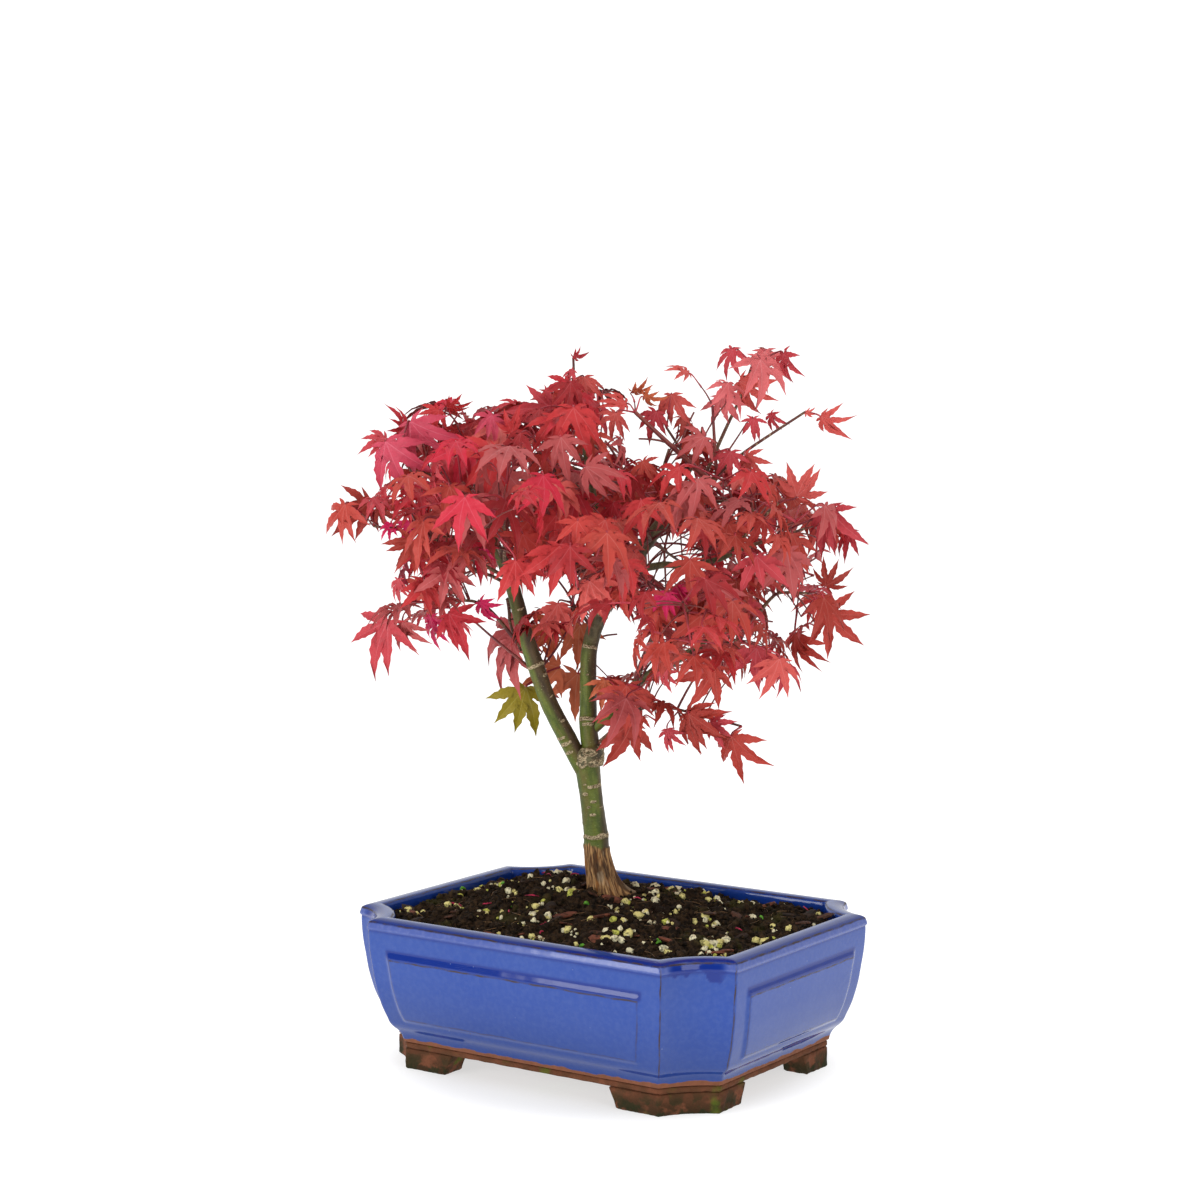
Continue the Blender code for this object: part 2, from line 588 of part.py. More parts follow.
def grow_mass(mass, paths, room):
    """One mass: a stem, side twigs in pairs, each pair turned from the last, and their leaves.

    Returns the twigs' paths and the leaves, each as (hub, along, face, size, node).
    """
    chance = random.Random(mass.seed)
    tip = place(*mass.tip)
    stem = grow_stem(chance, paths[mass.limb], mass.along, tip, room)
    if stem is None:
        raise ValueError(mass.name + " has no way for its stem")
    root, middle = stem[0][0], stem[2][0]
    twigs, leaves = [stem], []
    room.add(*tube(stem, TWIG_SIDES))
    wood = [len(room.taken) - 1]      # this mass's own wood, which its twigs may meet
    own = list(wood)                  # and its leaves, which its petioles may meet
    turn = chance.uniform(0, math.pi)
    for n in range(mass.nodes):
        share = mass.bare + (1 - mass.bare) * (n / max(1, mass.nodes - 1)) * LAST_PAIR
        if mass.nodes == 1:
            share = ONLY_PAIR
        node = middle.lerp(tip, share * 2 - 1) if share > 0.5 else root.lerp(middle, share * 2)
        along = (tip - middle).normalized() if share > 0.5 else (middle - root).normalized()
        first = along.orthogonal().normalized()
        second = along.cross(first)
        last = n == mass.nodes - 1
        for half in (0, 1):
            angle = turn + math.pi * half + chance.uniform(-PAIR_PLAY, PAIR_PLAY)
            outward = first * math.cos(angle) + second * math.sin(angle)
            twig = None
            if not last:
                way = (outward + along * TWIG_FORWARD + UP * TWIG_LIFT).normalized()
                end = node + way * (mass.leaf * chance.uniform(*TWIG_REACHES))
                twig = grow_twig(node, end, TWIG_TIP, room, wood)
            if twig is None:
                starts = [(node, outward, along)]
            else:
                twigs.append(twig)
                room.add(*tube(twig, TWIG_SIDES))
                wood.append(len(room.taken) - 1)
                own.append(len(room.taken) - 1)
                way = (twig[2][0] - twig[1][0]).normalized()
                side = way.cross(UP).normalized()
                starts = [(twig[2][0], side, way), (twig[2][0], -side, way)]
            for place_of, out, forward in starts:
                leaf = grow_leaf(chance, place_of, out, forward, mass.leaf, room, own)
                if leaf:
                    leaves.append(leaf)
                    points, faces, _ = leaf_solid(*leaf)
                    room.add(points, faces)
                    own.append(len(room.taken) - 1)
        turn += math.pi / 2
    return twigs, leaves


def join_mass(mass, twigs, leaves, collection, look):
    """Fuses a mass's twigs and leaves into one solid."""
    pieces = bpy.data.collections.new(mass.name + "_pieces")
    bpy.context.scene.collection.children.link(pieces)
    whole = solid(mass.name, *tube(twigs[0], TWIG_SIDES), look, collection)
    for i, twig in enumerate(twigs[1:]):
        solid(f"{mass.name}_twig_{i}", *tube(twig, TWIG_SIDES), look, pieces)
    for i, leaf in enumerate(leaves):
        points, faces, _ = leaf_solid(*leaf)
        solid(f"{mass.name}_leaf_{i}", points, faces, look, pieces)
    union = whole.modifiers.new("fused", "BOOLEAN")
    union.operation = "UNION"
    union.operand_type = "COLLECTION"
    union.collection = pieces
    for solver in ("EXACT", "MANIFOLD"):
        union.solver = solver
        seen = whole.evaluated_get(bpy.context.evaluated_depsgraph_get())
        mesh = bpy.data.meshes.new_from_object(seen)
        if keep_largest(mesh):
            break
    whole.modifiers.clear()
    whole.data = mesh
    mesh.name = mass.name
    for piece in list(pieces.objects):
        bpy.data.objects.remove(piece)
    bpy.data.collections.remove(pieces)
    return whole


def keep_largest(mesh):
    """Drops the inside skin of any sealed hollow and any loose scrap; says if the rest is closed."""
    work = bmesh.new()
    work.from_mesh(mesh)
    left = set(work.faces)
    shells = []
    while left:
        shell = [left.pop()]
        for face in shell:
            for edge in face.edges:
                if len(edge.link_faces) != 2:
                    continue
                for neighbour in edge.link_faces:
                    if neighbour in left:
                        left.remove(neighbour)
                        shell.append(neighbour)
        shells.append(shell)
    shells.sort(key=len)
    for shell in shells[:-1]:
        bmesh.ops.delete(work, geom=shell, context="FACES")
    bmesh.ops.remove_doubles(work, verts=work.verts, dist=WELD * MM)
    closed = all(len(edge.link_faces) == 2 for edge in work.edges)
    work.to_mesh(mesh)
    work.free()
    return closed


def build():
    for old in list(bpy.data.objects):
        bpy.data.objects.remove(old)
    plant = bpy.data.collections.new("potted_maple")
    cutters = bpy.data.collections.new("cutters")
    bpy.context.scene.collection.children.link(plant)
    bpy.context.scene.collection.children.link(cutters)
    clay = material("bare clay", CLAY, 0.85)
    glaze = material("blue glaze", GLAZE, 0.15)
    soil = material("soil", SOIL, 0.95)
    bark = material("green bark", BARK, 0.6)
    red = material("red leaves", LEAF_RED, 0.5)

    make_pot(plant, glaze)
    make_band(plant, clay)
    for name, sign_x, sign_y in FEET:
        make_foot(name, sign_x, sign_y, plant, clay)
    make_soil(plant, soil)

    paths = limb_paths()
    make_trunk(plant, bark)
    for name, points, parents in LIMBS:
        limb = make_limb(name, points, plant, bark)
        for parent in parents:
            cut_clear(limb, *tube(paths[parent], WOOD_SIDES, GAP), cutters)

    room = Room(paths)
    for mass in MASSES:
        twigs, leaves = grow_mass(mass, paths, room)
        join_mass(mass, twigs, leaves, plant, red)


if __name__ == "__main__":
    build()
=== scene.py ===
"""A young maple trained as a bonsai, in a blue glazed pot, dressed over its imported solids.

Sizes are in millimetres and become metres where a mesh is made.  The origin is on the table under
the middle of the pot, +X runs along the pot's long side and +Z is up.  The tree has its own front,
turned from the pot's: its places are (across, depth, height), depth towards the person looking.
"""

import math
import random
from collections import namedtuple

import bpy
import numpy as np
from mathutils import Matrix, Vector
from mathutils.bvhtree import BVHTree


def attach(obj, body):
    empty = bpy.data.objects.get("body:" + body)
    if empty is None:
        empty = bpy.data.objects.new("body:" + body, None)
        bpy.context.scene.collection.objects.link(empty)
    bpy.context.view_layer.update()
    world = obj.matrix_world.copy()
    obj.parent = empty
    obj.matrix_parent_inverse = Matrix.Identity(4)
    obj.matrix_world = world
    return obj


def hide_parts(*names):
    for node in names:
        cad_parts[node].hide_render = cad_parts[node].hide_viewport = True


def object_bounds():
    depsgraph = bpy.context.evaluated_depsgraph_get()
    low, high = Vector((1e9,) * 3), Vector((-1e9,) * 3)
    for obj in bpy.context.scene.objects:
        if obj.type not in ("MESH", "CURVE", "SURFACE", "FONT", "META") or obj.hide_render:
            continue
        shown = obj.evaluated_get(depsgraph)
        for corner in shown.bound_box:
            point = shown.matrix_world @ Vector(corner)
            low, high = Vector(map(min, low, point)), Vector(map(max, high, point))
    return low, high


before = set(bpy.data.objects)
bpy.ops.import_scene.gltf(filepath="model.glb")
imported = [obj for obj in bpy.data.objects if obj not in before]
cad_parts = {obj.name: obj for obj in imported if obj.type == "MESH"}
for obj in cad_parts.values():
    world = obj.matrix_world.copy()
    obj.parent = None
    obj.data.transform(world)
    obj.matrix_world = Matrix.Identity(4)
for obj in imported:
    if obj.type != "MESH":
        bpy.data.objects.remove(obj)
cad_box = [list(corner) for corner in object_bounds()]


# ---- camera
# A long lens a little above the rim, opposite the pot's near corner, so that a long side, the
# corner's notch and a short side all show.
VIEW_TURN, VIEW_RISE = math.radians(34.5), math.radians(5.87)
EYE = Vector((0.72989, -1.07149, 0.35401))

eye_back = Vector((math.sin(VIEW_TURN) * math.cos(VIEW_RISE),
                   -math.cos(VIEW_TURN) * math.cos(VIEW_RISE), math.sin(VIEW_RISE)))
eye_right = Vector((math.cos(VIEW_TURN), math.sin(VIEW_TURN), 0))
eye_up = eye_back.cross(eye_right)
lens = bpy.data.cameras.new("camera")
lens.sensor_width = 36
lens.lens = 83.26
camera = bpy.data.objects.new("camera", lens)
bpy.context.scene.collection.objects.link(camera)
camera.matrix_world = Matrix.Translation(EYE) @ Matrix((eye_right, eye_up, eye_back)).transposed().to_4x4()
bpy.context.scene.camera = camera


# ---- the glazed bowl
# Slip-cast stoneware with a notch at each corner and a raised panel on each side, dipped in a
# glossy cobalt glaze.  The glaze pools deep blue on the slopes and breaks brown on the edges.
# A lavender band under the rim is a painted highlight, and the glaze is painted darker towards
# the foot as painted shade.
MM = 0.001
POT_LENGTH, POT_WIDTH = 210.0, 163.0
NOTCH, NOTCH_SHIFT = 23.7, 6.0      # from a corner to the side's end; the arc's centre lies outside
NOTCH_REACH = math.hypot(NOTCH + NOTCH_SHIFT, NOTCH_SHIFT)
NEAR_END, NEAR_STEP = 14.0, 0.5     # columns are close together this near a side's end
SIDE_COLUMNS, NOTCH_COLUMNS = 26, 50
CORNER_PASSES = 4
FAR = 30.0                          # a distance that keeps a glaze line away
DRIP_LEVEL, CREASE_LEVEL = 66.0, 67.9
PANEL_MARGIN, PANEL_RELIEF = 9.8, 1.1
PANEL_TOP, PANEL_TOP_SLOPE = 55.0, 4.5
PANEL_FOOT, PANEL_FOOT_SLOPE = 26.2, 2.2
PANEL_SIDE_SLOPE = 1.8
OUTER_WALL = ((13, 13.9), (13.3, 13.2), (15, 12.75), (17, 12), (19, 10.6), (21, 8.6), (23, 7.25),
              (25.5, 6.3), (29, 4.95), (33, 3.7), (41, 1.9), (49, 0.8), (56, -0.1), (62, -0.55),
              (66.6, -0.7), (67.8, -0.62), (68.2, -0.9), (68.6, -1.25), (69.1, -1.3), (69.9, -1.12),
              (70.8, -0.88), (71.5, -0.64), (71.9, -0.4))
RIM = ((71.9, -0.4), (72.35, 0.25), (72.8, 1.2), (73.1, 2.5), (73.3, 4.0), (73.35, 5.6), (73.2, 7.1),
       (72.6, 8.3), (71.5, 8.8))
INNER_WALL = ((71.5, 8.8), (66, 9.05), (60, 9.3), (45, 9.9), (29, 13), (20, 18))


def smooth_line(points, longest):
    """A curve through rows of numbers: each stretch is a cubic whose slope at a point is half the
    step between its neighbours, cut into pieces no longer than longest in its first three numbers."""
    points = np.asarray(points, float)
    ends = np.vstack([2 * points[0] - points[1], points, 2 * points[-1] - points[-2]])
    pieces = []
    for a, b, c, d in zip(ends, ends[1:], ends[2:], ends[3:]):
        count = max(1, math.ceil(np.linalg.norm((c - b)[:3]) / longest))
        t = (np.arange(count) / count)[:, None]
        pieces.append(0.5 * (2 * b + (c - a) * t + (2 * a - 5 * b + 4 * c - d) * t ** 2
                             + (3 * b - a - 3 * c + d) * t ** 3))
    return np.vstack(pieces + [points[-1:]])


def blend(low, high, value):
    """Nought below low, one above high, and the cubic 3t^2 - 2t^3 between."""
    t = np.clip((value - low) / (high - low), 0, 1)
    return t * t * (3 - 2 * t)


def rough(points, size, seed):
    """Lattice noise, about -1 to 1: each corner of a lattice with this spacing has a random value
    from a hash of its place, and a point blends its eight corners by smooth weights."""
    scaled = np.asarray(points, float) / size
    cell = np.floor(scaled)
    part = scaled - cell
    part = part * part * (3 - 2 * part)
    total = np.zeros(scaled.shape[:-1])
    for corner in np.ndindex(2, 2, 2):
        dots = (cell + corner) @ np.array([127.1, 311.7, 74.7]) + 19.19 * seed
        value = np.sin(dots) * 43758.5453
        weight = np.prod(np.where(np.array(corner) == 1, part, 1 - part), axis=-1)
        total += weight * (2 * (value - np.floor(value)) - 1)
    return total


def notched(inset, lift):
    """Rings that follow the pot's outline, one for each inset.

    Along a side, the place is the side's length less the ring's inset.  Round a corner it is an arc
    centred a little outside the corner.  lift(gap, row) stands a panel out.  Returns x, y and the
    distance along the ring from the nearest side's end, which is negative in the notches.
    """
    inset = np.asarray(inset, float)[:, None]
    near = np.arange(0, NEAR_END + NEAR_STEP / 2, NEAR_STEP)
    middle = np.linspace(-1, 1, SIDE_COLUMNS)[1:-1]
    of_end = np.concatenate([-np.ones(len(near)), middle, np.ones(len(near))])
    added = np.concatenate([near, -middle * NEAR_END, -near[::-1]])
    share = np.arange(1, NOTCH_COLUMNS) / NOTCH_COLUMNS
    reach = NOTCH_REACH + inset
    start = np.arcsin((NOTCH_SHIFT + inset) / reach)
    turn = start + (math.pi / 2 - 2 * start) * share
    arc_gap = -reach * np.minimum(turn - start, math.pi / 2 - start - turn)
    xs, ys, gaps = [], [], []
    for quarter in range(4):
        half, other = (POT_LENGTH / 2, POT_WIDTH / 2)[::-1 if quarter % 2 else 1]
        end = other + NOTCH_SHIFT - reach * np.cos(start)
        along = end * of_end + added
        gap = end - np.abs(along)
        out = np.hstack([half - inset + lift(gap), half + NOTCH_SHIFT - reach * np.sin(turn)])
        side = np.hstack([along, other + NOTCH_SHIFT - reach * np.cos(turn)])
        xs.append((out, -side, -out, side)[quarter])
        ys.append((side, out, -side, -out)[quarter])
        gaps.append(np.hstack([gap, arc_gap]))
    x, y = np.hstack(xs), np.hstack(ys)
    for _ in range(CORNER_PASSES):
        x = (np.roll(x, 1, 1) + 2 * x + np.roll(x, -1, 1)) / 4
        y = (np.roll(y, 1, 1) + 2 * y + np.roll(y, -1, 1)) / 4
    return x, y, np.hstack(gaps)


def ring_faces(rows, columns):
    """Four-cornered faces between neighbouring rings, each ring closed on itself."""
    row, column = np.meshgrid(np.arange(rows - 1), np.arange(columns), indexing="ij")
    this, following = row * columns + column, row * columns + (column + 1) % columns
    return np.stack([this, following, following + columns, this + columns], -1).reshape(-1, 4)


def cap_faces(first, columns, centre, upward):
    """Three-cornered faces from one ring to its centre point."""
    column = np.arange(columns)
    this, following = first + column, first + (column + 1) % columns
    pair = (this, following) if upward else (following, this)
    return np.stack([*pair, np.full(columns, centre)], -1)


def closed_faces(rows, columns):
    """Faces of stacked rings, closed at both ends by the two points that follow the rings'."""
    count = rows * columns
    return [ring_faces(rows, columns), cap_faces(0, columns, count, False),
            cap_faces(count - columns, columns, count + 1, True)]


def make_piece(name, points, faces, looks, nodes=(), smooth=True, values=None, look_of=None):
    """Puts arrays into a mesh: points in millimetres, faces as arrays of corner numbers, values by
    name for the points, and the number of each face's look.  The piece rides on the plant."""
    mesh = bpy.data.meshes.new(name)
    corners = np.concatenate([f.ravel() for f in faces]).astype(np.int32)
    sizes = np.concatenate([np.full(len(f), f.shape[1]) for f in faces])
    mesh.vertices.add(len(points))
    mesh.vertices.foreach_set("co", (np.asarray(points) * MM).astype(np.float32).ravel())
    mesh.loops.add(len(corners))
    mesh.loops.foreach_set("vertex_index", corners)
    mesh.polygons.add(len(sizes))
    mesh.polygons.foreach_set("loop_start", (np.cumsum(sizes) - sizes).astype(np.int32))
    mesh.polygons.foreach_set("use_smooth", np.full(len(sizes), smooth))
    for look in looks:
        mesh.materials.append(look)
    if look_of is not None:
        mesh.polygons.foreach_set("material_index", np.asarray(look_of, np.int32))
    for title, value in (values or {}).items():
        value = np.asarray(value, np.float32)
        kind, field = ("FLOAT", "value") if value.ndim == 1 else ("FLOAT_VECTOR", "vector")
        mesh.attributes.new(title, kind, "POINT").data.foreach_set(field, value.ravel())
    mesh.update(calc_edges=True)
    mesh.validate()
    piece = bpy.data.objects.new(name, mesh)
    bpy.context.scene.collection.objects.link(piece)
    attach(piece, "root")
    if nodes:
        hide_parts(*nodes)
    return piece


def srgb(red, green, blue):
    """A colour from its screen values, 0 to 255, made linear."""
    shares = [v / 255 for v in (red, green, blue)]
    return (*[s / 12.92 if s < 0.04045 else ((s + 0.055) / 1.055) ** 2.4 for s in shares], 1)


def put(tree, kind, ins=(), out=0, **settings):
    """Adds a shader node; ins pairs its sockets with numbers, colours or other nodes' outputs."""
    made = tree.nodes.new("ShaderNode" + kind)
    for name, value in settings.items():
        setattr(made, name, value)
    for socket, value in dict(ins).items():
        if isinstance(value, bpy.types.NodeSocket):
            tree.links.new(value, made.inputs[socket])
        else:
            made.inputs[socket].default_value = value
    return made.outputs[out]


def mixed(tree, share, a, b, kind="MIX"):
    """One colour laid over another by a share."""
    return put(tree, "Mix", {0: share, 6: a, 7: b}, 2, data_type="RGBA", blend_type=kind)


def ranged(tree, value, low, high, to_low=0.0, to_high=1.0):
    """A value brought from one range to another on a smooth step."""
    return put(tree, "MapRange", {"Value": value, "From Min": low, "From Max": high, "To Min": to_low,
                                  "To Max": to_high}, interpolation_type="SMOOTHSTEP")


def times(tree, a, b):
    return put(tree, "Math", {0: a, 1: b}, operation="MULTIPLY")


def most(tree, a, b):
    return put(tree, "Math", {0: a, 1: b}, operation="MAXIMUM")


def size_of(tree, a):
    return put(tree, "Math", {0: a}, operation="ABSOLUTE")


def plus(tree, a, b):
    return put(tree, "Math", {0: a, 1: b}, operation="ADD")


def own(tree, name, out="Fac"):
    """A value that the piece's points carry."""
    return put(tree, "Attribute", out=out, attribute_name=name)


def new_group(name, inputs, outputs):
    """An empty node group with float inputs, given with their first values, and float outputs."""
    tree = bpy.data.node_groups.new(name, "ShaderNodeTree")
    for title, value in inputs.items():
        tree.interface.new_socket(title, in_out="INPUT", socket_type="NodeSocketFloat").default_value = value
    for title in outputs:
        tree.interface.new_socket(title, in_out="OUTPUT", socket_type="NodeSocketFloat")
    return tree, tree.nodes.new("NodeGroupInput").outputs, tree.nodes.new("NodeGroupOutput").inputs


def use_group(tree, group, out, **values):
    """Places a node group with its own values and returns one of its outputs."""
    made = tree.nodes.new("ShaderNodeGroup")
    made.node_tree = group
    for title, value in values.items():
        made.inputs[title].default_value = value
    return made.outputs[out]


def new_look(name, roughness, **settings):
    """A material with its shader's plain values set; returns it, its nodes and its shader."""
    look = bpy.data.materials.new(name)
    look.use_nodes = True
    tree = look.node_tree
    shader = tree.nodes["Principled BSDF"]
    shader.inputs["Roughness"].default_value = roughness
    for title, value in settings.items():
        shader.inputs[title.replace("_", " ")].default_value = value
    return look, tree, shader


def bumped(tree, shader, height, distance, strength=1.0):
    """Feeds a height, worth this many millimetres, to a shader as a bump."""
    bump = put(tree, "Bump", {"Height": height, "Distance": distance * MM, "Strength": strength})
    tree.links.new(bump, shader.inputs["Normal"])


# Soft blotches: object-space noise of a given size, cut between two levels.
patches, given, gives = new_group("patches", {"Size": 10.0, "Detail": 3.0, "Low": 0.45, "High": 0.6,
                                              "Upright": 1.0}, ("Mask", "Grain"))
where = put(patches, "TexCoord", out="Object")
flatten = put(patches, "CombineXYZ", {0: 1.0, 1: 1.0, 2: given["Upright"]})
where = put(patches, "VectorMath", {0: where, 1: flatten}, operation="MULTIPLY")
scale = put(patches, "Math", {0: 1000.0, 1: given["Size"]}, operation="DIVIDE")
grain = put(patches, "TexNoise", {"Vector": where, "Scale": scale, "Detail": given["Detail"]})
patches.links.new(ranged(patches, grain, given["Low"], given["High"]), gives["Mask"])
patches.links.new(grain, gives["Grain"])

# Scattered dots: distance to the nearest of random points, kept where it is under a radius.
dots, given, gives = new_group("dots", {"Spacing": 6.0, "Radius": 0.3, "Kept": 0.5}, ("Mask",))
where = put(dots, "TexCoord", out="Object")
scale = put(dots, "Math", {0: 1000.0, 1: given["Spacing"]}, operation="DIVIDE")
cells = dots.nodes.new("ShaderNodeTexVoronoi")
dots.links.new(where, cells.inputs["Vector"])
dots.links.new(scale, cells.inputs["Scale"])
apart = times(dots, cells.outputs["Distance"], given["Spacing"])
wide = times(dots, given["Radius"], 0.4)
near = put(dots, "MapRange", {"Value": apart, "From Min": wide, "From Max": given["Radius"],
                              "To Min": 1.0, "To Max": 0.0})
luck = put(dots, "SeparateColor", {0: cells.outputs["Color"]})
kept = put(dots, "Math", {0: luck, 1: given["Kept"]}, operation="LESS_THAN")
dots.links.new(times(dots, near, kept), gives["Mask"])


def blotches(tree, **values):
    return use_group(tree, patches, "Mask", **values)


def grains(tree, **values):
    return use_group(tree, patches, "Grain", **values)


def height_in(tree):
    """A point's own height, in metres."""
    return put(tree, "SeparateXYZ", {0: put(tree, "TexCoord", out="Object")}, 2)


def painted(tree, shader, colour):
    tree.links.new(colour, shader.inputs["Base Color"])


def two_toned(name, roughness, first, second, blotch, **settings):
    """A material of one colour with blotches of another, both given by their screen values."""
    look, tree, shader = new_look(name, roughness, **settings)
    tint = mixed(tree, blotches(tree, **blotch), srgb(*first), srgb(*second))
    painted(tree, shader, tint)
    return look, tree, shader


def darker(colour, share):
    return [value * share for value in colour]


GLAZE_FACE, GLAZE_DEEP = srgb(27, 66, 150), srgb(0, 38, 126)
GLAZE_HAZE, GLAZE_BROWN = srgb(64, 90, 158), srgb(52, 34, 34)
GLAZE_LIP_HIGHLIGHT = srgb(122, 128, 178)

glaze, tree, shader = new_look("cobalt glaze", 0.10, IOR=1.5, Specular_IOR_Level=0.4)
panel, rim_gap, corner_gap = own(tree, "panel"), own(tree, "rim"), own(tree, "corner")
pool = own(tree, "pool")
wander = ranged(tree, grains(tree, Size=9.0), 0.2, 0.8, -0.35, 0.35)
thin = ranged(tree, grains(tree, Size=5.0, Detail=4.0), 0.3, 0.62, 0.25, 1.0)


def glaze_line(gap, half_width, strength):
    """A thin line where a distance passes nought, wandering a little and worn unevenly."""
    apart = size_of(tree, plus(tree, gap, wander))
    return times(tree, ranged(tree, apart, half_width * 0.35, half_width, 1.0, 0.0),
                 times(tree, thin, strength))


haze = blotches(tree, Size=2.2, Detail=6.0, Low=0.35, High=0.75)
cloud = blotches(tree, Size=45.0, Detail=2.0, Low=0.3, High=0.75)
colour = mixed(tree, times(tree, haze, 0.35), GLAZE_FACE, GLAZE_HAZE)
colour = mixed(tree, times(tree, cloud, 0.18), colour, GLAZE_HAZE)
high = height_in(tree)
# Painted shade: the glaze is darker towards the foot, where the wall turns under and gets less light.
colour = mixed(tree, ranged(tree, high, 0.012, 0.055, 0.5, 0.0), colour, srgb(22, 44, 98))
# Painted highlight: a lavender band just under the rim's edge, where the glossy lip mirrors the key light.
lip_highlight = times(tree, own(tree, "lip"), ranged(tree, haze, 0.0, 1.0, 0.65, 0.9))
colour = mixed(tree, lip_highlight, colour, GLAZE_LIP_HIGHLIGHT)
colour = mixed(tree, pool, colour, GLAZE_DEEP)
wiped = ranged(tree, plus(tree, high, times(tree, wander, 0.0022)), 0.0149, 0.0153, 1.0, 0.0)
lines = most(tree, glaze_line(panel, 0.55, own(tree, "panel_line")), glaze_line(rim_gap, 0.75, 0.95))
lines = most(tree, lines, glaze_line(plus(tree, rim_gap, -8.6), 0.8, 0.95))
lines = most(tree, lines, glaze_line(corner_gap, 0.6, own(tree, "corner_line")))
colour = mixed(tree, lines, colour, GLAZE_BROWN)
bare = mixed(tree, grains(tree, Size=3.0, Detail=5.0), srgb(96, 56, 34), srgb(142, 86, 58))
pits = use_group(tree, dots, "Mask", Spacing=7.0, Radius=0.30, Kept=0.35)
colour = mixed(tree, times(tree, pits, 0.7), colour, srgb(150, 160, 190))
specks = use_group(tree, dots, "Mask", Spacing=16.0, Radius=0.55, Kept=0.3)
colour = mixed(tree, times(tree, specks, 0.8), colour, GLAZE_BROWN)
colour = mixed(tree, wiped, colour, bare)
painted(tree, shader, colour)
dull = most(tree, ranged(tree, lines, 0.0, 1.0, 0.09, 0.4), times(tree, wiped, 0.85))
tree.links.new(dull, shader.inputs["Roughness"])
wave = grains(tree, Size=14.0, Detail=1.0)
skin = plus(tree, wave, times(tree, grains(tree, Size=1.1, Detail=2.0), 0.05))
bumped(tree, shader, plus(tree, skin, times(tree, pits, -0.15)), 0.16)

outer = smooth_line([(z, i, 0) for z, i in OUTER_WALL], 0.8)[:, :2]
lip = smooth_line([(z, i, 0) for z, i in RIM], 0.4)[1:, :2]
inside = smooth_line([(z, i, 0) for z, i in INNER_WALL], 2.5)[1:, :2]
height, inset = np.vstack([outer, lip, inside]).T
walk = np.concatenate([[0], np.cumsum(np.hypot(np.diff(height), np.diff(inset)))])
rim_edge = walk[len(outer) - 1]
row_height = height[:, None]


def panel_gaps(gap):
    """How far outside the panel's flat a point is: above its top, below its foot, past its ends."""
    return (row_height - PANEL_TOP + 0 * gap, PANEL_FOOT - row_height + 0 * gap,
            PANEL_MARGIN + PANEL_SIDE_SLOPE - gap)


def panel_lift(gap):
    """The panel's relief: whole on its flat and falling to nought over each border's slope, the
    borders joined round the corners by a cube root of the sum of cubes."""
    above, below, past = panel_gaps(gap)
    share = np.cbrt(np.maximum(above / PANEL_TOP_SLOPE, 0) ** 3
                    + np.maximum(below / PANEL_FOOT_SLOPE, 0) ** 3
                    + np.maximum(past / PANEL_SIDE_SLOPE, 0) ** 3)
    outside = np.arange(len(row_height))[:, None] < len(outer)
    return np.where(outside, PANEL_RELIEF * (1 - blend(0, 1, share)), 0)


x, y, gap = notched(inset, panel_lift)
z = row_height + 0 * x
on_side = gap >= 0
above, below, past = panel_gaps(gap)
panel_edge = np.where(on_side, np.maximum(np.maximum(above, below), past), FAR)
line_strength = np.where(above >= np.maximum(below, past), 1.0, 0.45)
slope = (on_side * blend(-0.2, 0.8, above) * blend(PANEL_TOP_SLOPE + 0.9, PANEL_TOP_SLOPE - 0.6, above)
         * blend(0.4, -1.0, past - PANEL_SIDE_SLOPE))
place_of = np.stack([x, y, z], -1)
drip_line = (DRIP_LEVEL + 3.4 * rough(place_of * (1, 1, 0.3), 6.0, 3)
             + 1.8 * rough(place_of * (1, 1, 0.2), 2.2, 4))
in_notch = blend(3.0, 8.0, -gap)
drips = in_notch * blend(0, 0.6, z - drip_line) * blend(72.3, 71.0, z)
crease = np.exp(-((z - CREASE_LEVEL) / 0.55) ** 2) * 0.8
inner_pool = blend(72.6, 71.0, z) * (np.arange(len(z))[:, None] > len(outer) + 4) * 0.5
outside_rows = np.arange(len(z))[:, None] < len(outer)
from_edge = (walk - rim_edge)[:, None]
rolled = 0.8 * blend(-0.3, 0.3, from_edge) * blend(5.6, 3.2, from_edge)
# The lip value is a painted highlight on the outer wall just under the rim's edge, left out of the notches.
painted_lip_highlight = 0.5 * (1 - in_notch) * blend(-3.7, -3.1, from_edge) * blend(-0.1, -0.6, from_edge)
pooled = np.maximum(np.maximum(slope * 0.95, inner_pool), rolled)
pooled = np.clip(pooled + outside_rows * (drips + crease), 0, 1)
corner_line = blend(15, 26, z) * outside_rows * (z < 71.5)
columns = x.shape[1]
points = np.concatenate([place_of.reshape(-1, 3), [(0, 0, height[0]), (0, 0, height[-1])]])


def with_centres(value, centre=0.0):
    """A value for every ring point, and one for the two points that close the surface."""
    return np.concatenate([np.broadcast_to(value, x.shape).ravel(), [centre, centre]])


make_piece("glazed_bowl", points, closed_faces(len(z), columns), [glaze], ["pot"],
           values={"panel": with_centres(panel_edge, FAR), "panel_line": with_centres(line_strength),
                   "rim": with_centres((walk - rim_edge)[:, None], 2 * FAR),
                   "corner": with_centres(gap, FAR), "corner_line": with_centres(corner_line),
                   "pool": with_centres(pooled), "lip": with_centres(painted_lip_highlight)})


# ---- the bare clay
# Below the glaze line the fired clay was wiped bare: a plate under the bowl and four bent corner
# feet, chipped at the edges and grown over with dark green algae.
FOOT_HEIGHT, BAND_TOP, BAND_INSET, FOOT_WALL = 10.0, 13.0, 14.0, 13.0
FOOT_SLOPE, FOOT_LONG_REACH, FOOT_SHORT_REACH = 4.0, 27.0, 22.0
GAP = 0.3
FOOT_COLUMNS = 220
